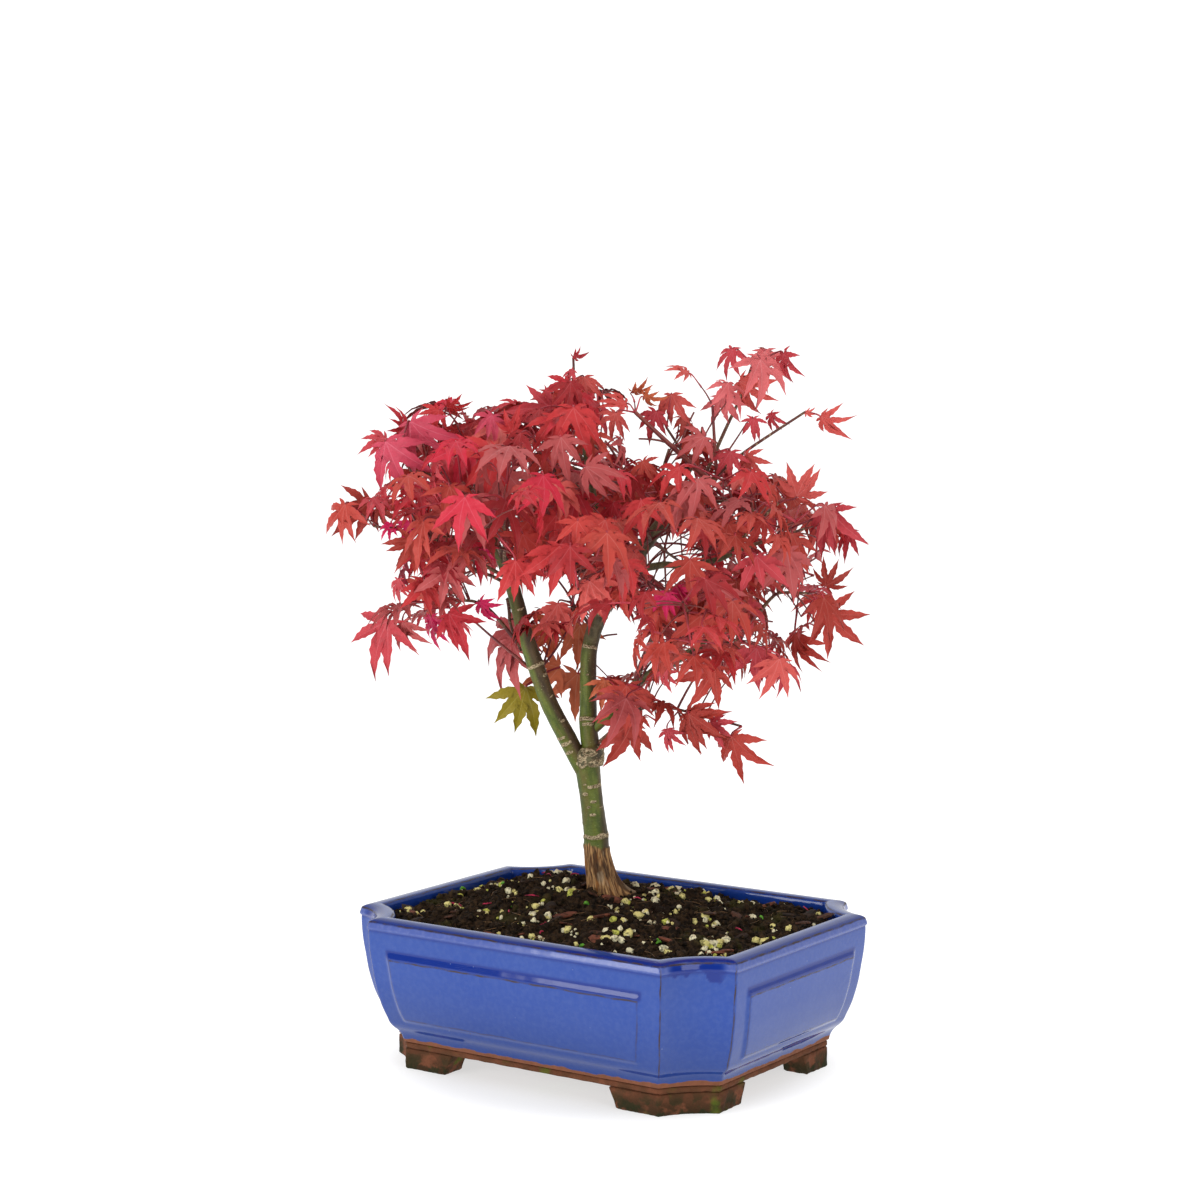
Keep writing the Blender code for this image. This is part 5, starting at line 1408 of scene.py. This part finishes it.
PLACED_LEAVES = (
    (72, -14, 337, 18, 2, 15, 0, "pale rose"),
    (80, -10, 336, 18, 12, 10, 58, "rose"),
    (57, -16, 338, 19, -26, 10, 50, "rose"),
    (60, -10, 323, 22, 52, 10, 35, "salmon"),
    (52, -8, 316, 18, 3, 5, 0, "pale rose"),
    (36, -8, 327, 11, -104, 20, 60, "salmon"),
    (28, -6, 317, 17, -2, 10, 35, "salmon"),
    (21, -4, 309, 15, -22, 10, 20, "rose"),
    (10, -6, 318, 11, 100, 10, 62, "brown orange"),
    (15, -2, 316, 12, 70, 20, 50, "brown orange"),
    (97, 6, 307, 17, 52, 5, 45, "salmon"),
    (66, 0, 306, 11, 0, 10, 10, "rose"),
    (74, 0, 308, 10, 25, 10, 45, "rose"),
    (55, 10, 291, 15, -5, 15, 10, "rose"),
    (62, 8, 289, 14, 40, 10, 30, "salmon"),
    (43, 14, 298, 17, -60, 20, 30, "dusty rose"),
    (90, 6, 309, 5, 70, 0, 30, "salmon"),
    (64, 6, 281, 17, 12, 20, 0, "salmon"),
    (39, -16, 296, 14, 10, 30, 0, "brick"),
    (86, 10, 270, 20, 160, 8, 0, "salmon"),
    (99, 12, 216, 24, 50, 5, 0, "brick"),
    (111, 8, 254, 18, -16, 10, 50, "rose"),
    (100, 12, 265, 26, 14, 15, 25, "rose"),
    (83, 24, 254, 22, -8, 10, 0, "brick"),
    (65, 54, 246, 20, 8, 25, 0, "rose"),
    (76, 48, 199, 20, -15, 15, 0, "salmon"),
    (66, 40, 203, 22, -8, 5, 20, "rose"),
    (85, 20, 207, 22, 12, 5, 52, "brick"),
    (100, 6, 228, 15, 150, 20, 0, "brown red"),
    (70, 30, 261, 16, -40, 30, 0, "scarlet"),
    (48, 16, 191, 22, -28, 10, 0, "brick"),
    (7, 14, 182, 23, -3, 8, 0, "brick"),
    (10, 8, 164, 23, -25, 8, 0, "brown red"),
    (35, 12, 169, 21, 50, 20, 10, "brick"),
    (36, 16, 169, 19, 26, 15, 10, "brown red"),
    (26, 10, 161, 13, 15, 10, 30, "rose"),
    (56, 12, 158, 23, 14, 4, 42, "brick"),
    (46, 8, 164, 14, 60, 25, 0, "rose"),
    (-3, -6, 182, 14, -20, 20, 0, "brown orange"),
    (24, 20, 190, 11, 15, 10, 40, "rose"),
    (24, 26, 202, 13, -12, 15, 10, "brick"),
    (-113, 4, 267, 24, -50, 5, 0, "brown red"),
    (-123, 8, 267, 30, -17, 5, 45, "brick"),
    (-108, 10, 265, 14, 50, 10, 10, "brown red"),
    (-104, 12, 297, 15, -70, 10, 30, "rose"),
    (-104, 16, 296, 27, 24, 12, 20, "pink"),
    (-93, 14, 305, 27, 32, 12, 20, "pink"),
    (-96, 10, 300, 14, -160, 10, 60, "crimson"),
    (-80, 6, 310, 14, -48, 15, 20, "red"),
    (-76, 4, 311, 11, 98, 15, 50, "red"),
    (-55, 16, 308, 14, -20, 20, 0, "pink"),
    (-46, 20, 300, 12, 170, 15, 0, "red"),
    (-65, 44, 296, 21, -28, 15, 0, "bright crimson"),
    (-52, 48, 293, 25, -48, 20, 0, "red"),
    (-62, 54, 273, 23, 4, 15, 0, "dusty rose"),
    (-75, 44, 265, 17, -48, 15, 0, "salmon"),
    (-93, 24, 259, 11, -32, 10, 20, "magenta"),
    (-101, 20, 258, 10, -44, 5, 50, "magenta"),
    (-91, 26, 251, 15, -62, 15, 0, "brown red"),
    (-74, 34, 239, 22, -16, 10, 0, "dusty rose"),
    (-59, 40, 248, 9, 8, 10, 20, "magenta"),
    (-99, 14, 232, 13, -5, 5, 50, "rose"),
    (-105, 2, 211, 26, -30, 3, 28, "rose"),
    (-98, 6, 211, 20, 12, 5, 38, "dusty rose"),
    (-76, 6, 215, 22, 38, 8, 0, "crimson"),
    (-85, 2, 212, 17, 6, 0, 55, "magenta"),
    (-75, 0, 211, 8, 20, 0, 30, "magenta"),
    (-62, 4, 220, 14, 44, 0, 35, "magenta"),
    (-46, -22, 205, 35, -26, 0, 52, "dusty rose"),
    (-47, -24, 199, 18, -17, 0, 40, "dusty rose"),
    (-41, -26, 176, 27, -13, 4, 0, "green yellow"),
    (-16, -30, 182, 25, -10, 6, 0, "brown orange"),
    (-25, -30, 185, 22, -70, 4, 10, "brown orange"),
    (-26, -34, 206, 20, -40, 10, 0, "brown orange"),
    (-25, 8, 220, 18, -4, 10, 0, "salmon"),
    (-15, -36, 205, 21, -6, 8, 0, "brown orange"),
    (-18, -14, 334, 9, 106, 0, 50, "rose"),
    (-13, -14, 325, 16, 12, 10, 0, "salmon"),
    (-18, -12, 328, 10, -50, 0, 55, "rose"),
    (-20, -8, 323, 15, -36, 10, 10, "crimson"),
    (-28, 2, 310, 21, -100, 10, 0, "rose"),
    (-23, 42, 299, 20, 8, 10, 0, "dusty rose"),
    (-12, 46, 286, 19, 60, 15, 0, "dusty rose"),
    (7, 0, 313, 17, -100, 10, 50, "scarlet"),
    (2, 6, 309, 14, -22, 5, 20, "salmon"),
    (14, 22, 287, 12, 30, 15, 0, "orange red"),
    (-3, 60, 263, 21, -20, 15, 0, "scarlet"),
    (13, 52, 271, 20, 10, 15, 0, "red"),
    (35, 60, 245, 21, -5, 12, 0, "brick"),
    (-23, 70, 252, 23, -8, 10, 0, "red"),
    (-10, 66, 236, 20, 20, 10, 0, "salmon"),
    (7, 62, 245, 20, -14, 12, 0, "red"),
    (-43, 64, 245, 21, 6, 10, 0, "red"),
    (40, 60, 220, 20, -12, 10, 0, "brick"),
    (49, 56, 231, 20, 24, 12, 0, "dusty rose"),
    (25, 56, 230, 14, -10, 5, 30, "magenta"),
    (29, 54, 232, 12, 20, 5, 35, "magenta"),
)
PLACED_PUSHES = (0, 3, -3, 6, -6, 9, -9, 12, -12)
LONGEST_STALK = 11.0


def seen_place(point):
    """Where the camera sees a point, on the upright plane through the pot's middle: its distance
    from the middle line, and its height."""
    here = point * MM - EYE
    scale = EYE.dot(eye_back) / -here.dot(eye_back)
    level = (EYE - eye_back * EYE.dot(eye_back)).z
    return here.dot(eye_right) * scale / MM, here.dot(eye_up) * scale / MM + level / MM


def clear_of_gaps(points):
    """Whether a finer leaf stays in the crown's reach and out of the gaps."""
    if not fits(points):
        return False
    hub = sum(points, Vector()) / len(points)
    between = [point.lerp(hub, share) for point in points for share in BETWEEN]
    for point in points + between:
        across, level = seen_place(point)
        if any(left < across < right and low < level < high for left, right, low, high in SKY_GAPS):
            return False
    return True


def true_size(leaf, share):
    """A leaf drawn in to its real size, with its middle lobe's tip left nearly where it was."""
    hub, down, face, size, node = leaf
    return hub + down * (size * (1 - share) * TIP_KEPT), down, face, size * share, node


def grow_finer(mass, twigs, leaves, wood, held, room):
    """Adds finer side twigs to a mass's stem, each with up to three smaller leaves at its end."""
    chance = random.Random(mass.seed + FINE_SEED)
    root, _, middle, tip = [here for here, _ in twigs[0]]
    spray = FIRST_FINE_SPRAY
    for _ in range(FEW_TRIES if mass.name in OPEN_MASSES else FINE_TRIES):
        node, along, first, second = stem_frame(root, middle, tip, chance.uniform(*FINE_SPAN))
        angle = chance.uniform(0, 2 * math.pi)
        outward = first * math.cos(angle) + second * math.sin(angle)
        twig = grow_side_twig(chance, node, outward, along, mass.leaf, FINE_TWIGS, FINE_WIDTH, room, wood)
        if twig is None:
            continue
        end, way, side = twig_end(twig)
        found = []
        for out in (side, -side, way):
            size = mass.leaf * chance.uniform(*FINE_LEAVES)
            leaf = grow_leaf(chance, end, out, way, size, room, held, clear_of_gaps)
            if leaf:
                found.append(leaf)
                held.append(room.add(*leaf_solid(*leaf)[:2]))
        if found:
            twigs.append(twig)
            wood.append(room.add(*tube(twig, TWIG_SIDES)))
            held.append(wood[-1])
            leaves.extend((leaf, spray) for leaf in found)
            spray += 1


def hung_leaf(across, depth, height, size, lean, tilt, roll):
    """A leaf's hub, its midrib's way and its face: the midrib starts straight down, its face to the
    front, and is turned by the lean, then by the tilt, then by the roll."""
    hub = place(across, depth, height)
    right = (place(1, 0, 0) - place(0, 0, 0)).normalized()
    front = (place(0, 1, 0) - place(0, 0, 0)).normalized()
    lean, tilt, roll = (math.radians(turn) for turn in (lean, tilt, roll))
    flat = right * math.sin(lean) - UP * math.cos(lean)
    down = flat * math.cos(tilt) + front * math.sin(tilt)
    face = front * math.cos(tilt) - flat * math.sin(tilt)
    face = face * math.cos(roll) + down.cross(face) * math.sin(roll)
    return hub, down, face, size


def nearest(hub, wood_places):
    """The place on the wood nearest to a hub, those under it or beside it before those over it."""
    return min(wood_places, key=lambda at: (at - hub).length + 0.3 * max(at.z - hub.z, 0))


room = Room(paths)
shoots = []
for *knots, width in SHOOTS:
    shoot = [(place(*knot), width * share) for knot, share in zip(knots, TWIG_ENDS)]
    shoots.append(shoot)
    room.add(*tube(shoot, TWIG_SIDES))
wood_places = []
for twig in shoots + [twigs[0] for twigs, _, _, _ in grown.values()]:
    for (a, _), (b, _) in zip(twig, twig[1:]):
        wood_places += [a.lerp(b, step / 6) for step in range(7)]
placed_leaves, placed_twigs = [], []
for across, depth, height, size, lean, tilt, roll, colour in PLACED_LEAVES:
    for push in PLACED_PUSHES:
        hub, down, face, reach = hung_leaf(across, depth + push, height, size, lean, tilt, roll)
        node = nearest(hub, wood_places)
        if (hub - node).length > LONGEST_STALK:
            fork = hub + (node - hub).normalized() * LONGEST_STALK + UP * 1.5
            middle = node.lerp(fork, 0.5) + UP * 0.08 * (fork - node).length
            twig = [(node, FINE_WIDTH), (middle, FINE_WIDTH * 0.85), (fork, FINE_WIDTH * 0.7)]
            node = fork
        else:
            twig = None
        points, faces, blade = leaf_solid(hub, down, face, reach, node)
        if room.free(points, faces[:blade]):
            break
    placed_leaves.append(((hub, down, face, reach, node), colour))
    room.add(points, faces)
    if twig:
        placed_twigs.append(twig)

for mass, (twigs, leaves, wood, held) in grown.items():
    chance = random.Random(mass.seed + SHRINK_SEED)
    wood[:] = [room.add(*tube(twig, TWIG_SIDES)) for twig in twigs]
    held[:] = wood
    kept = []
    for leaf, spray in leaves:
        hub, down, face, size, node = true_size(leaf, chance.uniform(*TRUE_SHARES))
        for share in SMALLER_SHARES:
            points, faces, blade = leaf_solid(hub, down, face, size * share, node)
            if clear_of_gaps(points) and room.free(points, faces[:blade], held):
                kept.append(((hub, down, face, size * share, node), spray))
                held.append(room.add(points, faces))
                break
    leaves[:] = kept
for mass, (twigs, leaves, wood, held) in grown.items():
    grow_finer(mass, twigs, leaves, wood, held, room)


def curved(knots, places):
    """Many paths at once through the same number of knots, by a B-spline-like blend: the knots are
    joined by straight lines, cut fine, and smoothed by repeated three-point averages."""
    at = np.linspace(0, knots.shape[1] - 1, places)
    low = np.minimum(at.astype(int), knots.shape[1] - 2)
    part = (at - low)[None, :, None]
    lines = knots[:, low] * (1 - part) + knots[:, low + 1] * part
    for _ in range(3):
        lines[:, 1:-1] = (lines[:, :-2] + 2 * lines[:, 1:-1] + lines[:, 2:]) / 4
    return lines


STEM_SINK = 1.2                     # how far a stem starts under its bough's skin
STEM_PLACES, TWIG_PLACES = 17, 7
STALK_TAPER = (1.35, 1, 0.9, 0.85, 0.85, 0.9, 0.8)

stems = [twigs[0] for twigs, _, _, _ in grown.values()]
side_twigs = shoots + placed_twigs + [twig for twigs, _, _, _ in grown.values() for twig in twigs[1:]]
stem_knots = np.array([[tuple(here) for here, _ in stem] for stem in stems])
twig_knots = np.array([[tuple(here) for here, _ in twig] for twig in side_twigs])
outset = stem_knots[:, 1] - stem_knots[:, 0]
inward = stem_knots[:, 0] - outset / np.linalg.norm(outset, axis=1)[:, None] * STEM_SINK
stem_paths = curved(np.concatenate([inward[:, None], stem_knots], 1), STEM_PLACES)
stem_taper = np.interp(np.linspace(0, 1, STEM_PLACES), [0, 0.06, 0.5, 1], [1.35, 1.0, 0.85, 0.6])
stem_radii = np.tile(stem_taper, (len(stems), 1))
twig_paths = curved(twig_knots, TWIG_PLACES)
twig_taper = np.linspace(1.0, 0.68, TWIG_PLACES)
twig_radii = np.array([twig[0][1] / 2 for twig in side_twigs])[:, None] * twig_taper
leaf_list = [(leaf, None, colour) for leaf, colour in placed_leaves]
leaf_list += [(leaf, mass, spray) for mass, (_, leaves, _, _) in grown.items() for leaf, spray in leaves]
hubs, downs, faces_up, nodes = (np.array([tuple(leaf[k]) for leaf, _, _ in leaf_list]) for k in (0, 1, 2, 4))
leaf_sizes = np.array([leaf[3] for leaf, _, _ in leaf_list])
stalk = np.linalg.norm(hubs - nodes, axis=1)[:, None]
stalk_knots = np.stack([nodes, nodes + (hubs - nodes) * 0.45 + (0, 0, 0.06) * stalk,
                        hubs - downs * 0.22 * stalk - faces_up * 0.02 * stalk, hubs], 1)
stalk_paths = curved(stalk_knots, len(STALK_TAPER))
stalk_radii = (0.28 + 0.012 * leaf_sizes)[:, None] * np.array(STALK_TAPER)

twig_look, tree, shader = new_look("twig bark", 0.55, Specular_IOR_Level=0.35)
older = mixed(tree, blotches(tree, Size=9.0, Low=0.4, High=0.6), srgb(88, 40, 38), srgb(104, 74, 52))
older = mixed(tree, blotches(tree, Size=1.3, Low=0.58, High=0.64), older, srgb(150, 128, 100))
painted(tree, shader, older)
bumped(tree, shader, grains(tree, Size=0.9, Detail=3.0), 0.12)
stalk_look, _, _ = two_toned("red leaf stalk", 0.42, (128, 30, 40), (188, 52, 66),
                             {"Size": 14.0, "Low": 0.35, "High": 0.65})
young_look, _, _ = two_toned("young twig", 0.45, (104, 30, 38), (132, 56, 46),
                             {"Size": 10.0, "Low": 0.35, "High": 0.65})

for title, tube_paths, radii, sides, look, slot in (
        ("stems", stem_paths, stem_radii, 7, twig_look, "bark"),
        ("twigs", twig_paths, twig_radii, 5, young_look, "foliage"),
        ("leaf_stalks", stalk_paths, stalk_radii, 4, stalk_look, "foliage")):
    points, faces = many_tubes(tube_paths, radii, sides)
    make_piece(title, points, faces, [look])


# ---- the leaves
# Thin red blades of seven pointed lobes, toothed, each lobe folded along its midrib and hanging
# at its tip.  A leaf is a few flat faces to a lobe and a narrow paler rib down its middle.
BLADE_LOBES = ((-122, 0.34), (-80, 0.70), (-39, 0.92), (0, 1.0), (39, 0.92), (80, 0.70), (122, 0.34))
LOBE_OUTLINE = ((0.40, 0.122), (0.48, 0.108), (0.56, 0.126), (0.66, 0.080), (0.74, 0.083), (0.87, 0.027))
RIB_STOPS = (0.30, 0.52, 0.72)
RIB_HALF, RIBBED = 0.011, 60        # half a rib's width; lobes turned less than this have one
GATHER, PLACED_GATHER = (0.78, 1.02), (0.72, 0.92)    # how the lobes' turns are drawn together
SINUS = 0.29
BASE_TURN, BASE_REACH = 152, 0.10   # the blade's two points beside its stalk
BLADE_FOLD = 0.45
RIB_PALER = 0.12                    # how far a rib's colour goes towards a pale one
RIB_PALE = 235
LEAF_SEED, GATHER_SEED, SPRAY_SEED = 17, 23, 31


def leaf_pattern():
    """One leaf in its own plane.  Each point is (lobe, share along the lobe, share across it); a
    notch between two lobes is a lobe of its own, halfway between.  Faces are lists of points, first
    the blade's and then the ribs'."""
    lobes = [(math.radians(turn), reach) for turn, reach in BLADE_LOBES]
    for (turn, reach), (after, other) in zip(BLADE_LOBES, BLADE_LOBES[1:]):
        lobes.append((math.radians((turn + after) / 2), SINUS * (reach + other) / 2 * 1.08))
    lobes += [(math.radians(-BASE_TURN), BASE_REACH), (math.radians(BASE_TURN), BASE_REACH)]
    points, blade, ribs = [], [], []

    def add(lobe, along, across):
        points.append((lobe, along, across))
        return len(points) - 1

    sinuses = [add(len(BLADE_LOBES) + k, 1, 0) for k in range(len(BLADE_LOBES) + 1)]
    low_side = [sinuses[6]] + sinuses[:6]
    high_side = sinuses[:6] + [sinuses[7]]
    for lobe, (turn, reach) in enumerate(BLADE_LOBES):
        tip = add(lobe, 1, 0)
        small, ribbed = reach < 0.5, abs(turn) < RIBBED
        inner = {}
        for sign, notch in ((-1, low_side[lobe]), (1, high_side[lobe])):
            if ribbed or sign < 0:
                half = RIB_HALF if ribbed else 0
                middle = [add(lobe, s, sign * half * (1 - 0.8 * s)) for s in (0, *RIB_STOPS)]
            edge = [add(lobe, s, sign * w) for s, w in LOBE_OUTLINE]
            hub, a, b, c = middle
            if small:
                faces = [(hub, b, edge[0], notch), (b, tip, edge[3], edge[0])]
            else:
                faces = [(hub, a, notch), (a, b, edge[1], edge[0], notch),
                         (b, c, edge[3], edge[2], edge[1]), (c, tip, edge[5], edge[4], edge[3])]
            blade += [face if sign < 0 else face[::-1] for face in faces]
            inner[sign] = middle
        if ribbed:
            low, high = inner[-1], inner[1]
            ribs += [(low[k], high[k], high[k + 1], low[k + 1]) for k in range(3)]
            ribs.append((low[3], high[3], tip))
    return np.array(lobes), np.array(points), blade, ribs


def make_leaves(hubs, downs, ups, sizes, gathers, seed):
    """All leaves at once.  A point lies at its share of its lobe's length and width, in a direction
    turned from the leaf's own; it is lowered by the square of its distance from the hub, raised by
    its share across the lobe, and each lobe has its own length, turn and curl.  A leaf that would
    leave the solids' box is drawn in towards its hub."""
    lobes, pattern, blade, ribs = leaf_pattern()
    chance = np.random.RandomState(seed)
    count = len(hubs)
    lobe = pattern[:, 0].astype(int)
    along, across = pattern[:, 1], pattern[:, 2]
    length = lobes[:, 1] * np.minimum(1 + 0.09 * chance.randn(count, len(lobes)), 1.1)
    turn = lobes[:, 0] * gathers[:, None] + 0.05 * chance.randn(count, len(lobes))
    curl = np.abs(0.12 + 0.20 * chance.randn(count, len(lobes))) + 0.22 * np.abs(np.sin(lobes[:, 0]))
    sway = 0.13 * chance.randn(count, len(lobes))
    droop = 0.16 + 0.14 * chance.rand(count, 1)
    fold = BLADE_FOLD * (0.4 + 1.1 * chance.rand(count, 1))
    width = 0.92 + 0.22 * chance.rand(count, 1)
    reach, angle = length[:, lobe] * along, turn[:, lobe]
    wide = length[:, lobe] * across * width
    bend = sway[:, lobe] * reach * reach
    u = reach * np.cos(angle) - (wide + bend) * np.sin(angle)
    v = reach * np.sin(angle) + (wide + bend) * np.cos(angle)
    r = np.hypot(u, v)
    curled = curl[:, lobe] * np.maximum(along - 0.4, 0) ** 2 * length[:, lobe]
    h = -droop * r * r - curled + np.abs(wide) * fold
    h += 0.02 * np.sin(9 * u + 7 * v + 6 * chance.rand(count, 1)) * r
    side = np.cross(ups, downs)
    size = sizes[:, None, None]
    offsets = (downs[:, None] * u[..., None] + side[:, None] * v[..., None]
               + ups[:, None] * h[..., None]) * size
    low, high = (np.array(corner) / MM for corner in cad_box)
    room_left = np.where(offsets > 0, high - hubs[:, None], low - hubs[:, None])
    shares = np.where(np.abs(offsets) > 1e-6, room_left / offsets, 9.0)
    shares = np.clip(shares.min(axis=(1, 2)), 0.1, 1)
    return hubs[:, None] + offsets * shares[:, None, None], blade, ribs


LEAF_COLOURS = {
    "crimson": (184, 42, 52), "bright crimson": (194, 38, 58), "red": (186, 48, 50), "rose": (188, 62, 70),
    "pink": (194, 64, 86), "pale rose": (208, 100, 102), "dusty rose": (178, 78, 78),
    "salmon": (200, 82, 76), "brick": (178, 62, 52), "brown red": (158, 52, 42),
    "deep crimson": (156, 36, 40), "dark red": (122, 30, 30), "scarlet": (192, 62, 56),
    "orange red": (184, 66, 56), "brown orange": (200, 104, 70), "magenta": (198, 24, 82),
    "green yellow": (140, 124, 26),
}
COLOUR_NAMES = list(LEAF_COLOURS)
FAMILIES = {
    "left": ("crimson", "rose", "bright crimson", "deep crimson", "pink", "brick", "dusty rose", "red"),
    "middle": ("brick", "orange red", "red", "dusty rose", "deep crimson", "scarlet", "salmon", "crimson"),
    "right": ("brick", "salmon", "brown red", "rose", "orange red", "brick", "red", "dusty rose"),
    "low": ("brick", "brown red", "rose", "dusty rose", "brick"),
    "back": ("deep crimson", "brick", "rose", "brown red", "crimson", "dark red"),
    "open": ("pale rose", "salmon", "rose", "pale rose", "brick"),
}


def family_of(mass):
    """The colours that a mass's sprays are dealt from: by its side of the tree, its depth and
    its height."""
    across, depth, height = mass.tip
    if mass.name in OPEN_MASSES:
        return "open"
    if depth < -40:
        return "back"
    if height < 200:
        return "low"
    return "left" if across < -38 else "middle" if across < 32 else "right"


def leaf_look(name, colour):
    """A leaf's plain colour, with a finely quilted skin that is glossier in its hollows."""
    look, tree, shader = new_look(name, 0.5, Specular_IOR_Level=0.25)
    shader.inputs["Base Color"].default_value = srgb(*colour)
    quilt = grains(tree, Size=2.4, Detail=3.0)
    tree.links.new(ranged(tree, quilt, 0.3, 0.7, 0.42, 0.62), shader.inputs["Roughness"])
    bumped(tree, shader, quilt, 0.42)
    return look


blade_looks = [leaf_look("leaf " + name, colour) for name, colour in LEAF_COLOURS.items()]
rib_looks = [leaf_look("rib " + name, [c + (RIB_PALE - c) * RIB_PALER for c in colour])
             for name, colour in LEAF_COLOURS.items()]
chance = np.random.RandomState(GATHER_SEED)
gathers = np.array([chance.uniform(*(GATHER if mass else PLACED_GATHER)) for _, mass, _ in leaf_list])
leaf_points, blade, ribs = make_leaves(hubs, downs, faces_up, leaf_sizes, gathers, LEAF_SEED)
spray_colours = []
for leaf, mass, spray in leaf_list:
    if mass is None:
        spray_colours.append(COLOUR_NAMES.index(spray))
        continue
    chance = random.Random(mass.seed * SPRAY_SEED + spray)
    spray_colours.append(COLOUR_NAMES.index(chance.choice(FAMILIES[family_of(mass)])))
spray_colours = np.array(spray_colours)


def leaf_faces(pattern, count, step):
    """The pattern's faces for every leaf, by their number of corners, and each face's leaf."""
    groups, owners = [], []
    for corners in sorted({len(face) for face in pattern}):
        same = np.array([face for face in pattern if len(face) == corners])
        groups.append((same[None] + (np.arange(count) * step)[:, None, None]).reshape(-1, corners))
        owners.append(np.repeat(np.arange(count), len(same)))
    return groups, np.concatenate(owners)


blade_faces, blade_owner = leaf_faces(blade, len(hubs), leaf_points.shape[1])
rib_faces, rib_owner = leaf_faces(ribs, len(hubs), leaf_points.shape[1])
look_of = np.concatenate([spray_colours[blade_owner], spray_colours[rib_owner] + len(COLOUR_NAMES)])
make_piece("leaves", leaf_points.reshape(-1, 3), blade_faces + rib_faces, blade_looks + rib_looks,
           [mass.name for mass in MASSES], look_of=look_of)


# ---- floor, light and the end
# A white sheet that glows more away from the pot, so that its shadow fades out, a white surround
# that is dimmer behind the camera and overhead, and three soft lights.  None is part of the plant.
FLOOR_HALF = 6.0

floor_look, tree, shader = new_look("pale paper", 0.9, Specular_IOR_Level=0.0)
shader.inputs["Base Color"].default_value = (0.4, 0.4, 0.4, 1)
shader.inputs["Emission Color"].default_value = (1, 1, 1, 1)
spot = put(tree, "TexCoord", out="Object")
away = put(tree, "VectorMath", {0: spot}, 1, operation="LENGTH")
tree.links.new(ranged(tree, away, 0.08, 0.135, 0.62, 1.0), shader.inputs["Emission Strength"])
floor_mesh = bpy.data.meshes.new("floor")
corners = [(x * FLOOR_HALF, y * FLOOR_HALF, 0) for x, y in ((-1, -1), (1, -1), (1, 1), (-1, 1))]
floor_mesh.from_pydata(corners, [], [(0, 1, 2, 3)])
floor_mesh.materials.append(floor_look)
floor = bpy.data.objects.new("floor", floor_mesh)
bpy.context.scene.collection.objects.link(floor)

bpy.context.scene.view_settings.view_transform = "Standard"
world = bpy.data.worlds.new("studio")
bpy.context.scene.world = world
world.use_nodes = True
sky = world.node_tree
ground = sky.nodes["Background"]
ground.inputs["Color"].default_value = (1, 1, 1, 1)
direction = put(sky, "TexCoord", out="Generated")
behind = put(sky, "VectorMath", {0: direction, 1: tuple(-eye_back)}, 1, operation="DOT_PRODUCT")
shade = ranged(sky, behind, -0.1, 0.7, 0.32, 0.95)
level = put(sky, "SeparateXYZ", {0: direction}, 2)
shade = times(sky, shade, ranged(sky, level, 0.1, 0.7, 1.0, 0.65))
seen = put(sky, "LightPath", out="Is Camera Ray")
sky.links.new(put(sky, "Mix", {0: seen, 2: shade, 3: 1.2}, 0), ground.inputs["Strength"])


def softbox(name, place, target, width, height, power):
    """A rectangular light that faces its target."""
    light = bpy.data.lights.new(name, "AREA")
    light.shape = "RECTANGLE"
    light.size, light.size_y = width, height
    light.energy = power
    box = bpy.data.objects.new(name, light)
    box.location = place
    box.rotation_euler = (Vector(target) - Vector(place)).to_track_quat("-Z", "Y").to_euler()
    bpy.context.scene.collection.objects.link(box)


softbox("key", (-0.42, -1.27, 0.42), (0, 0, 0.06), 0.72, 0.6, 8)
softbox("top", (0.1, -0.1, 1.7), (0, 0, 0), 1.6, 1.6, 15)
softbox("fill", (1.4, -0.6, 0.7), (0, 0, 0.2), 0.8, 1.0, 8)
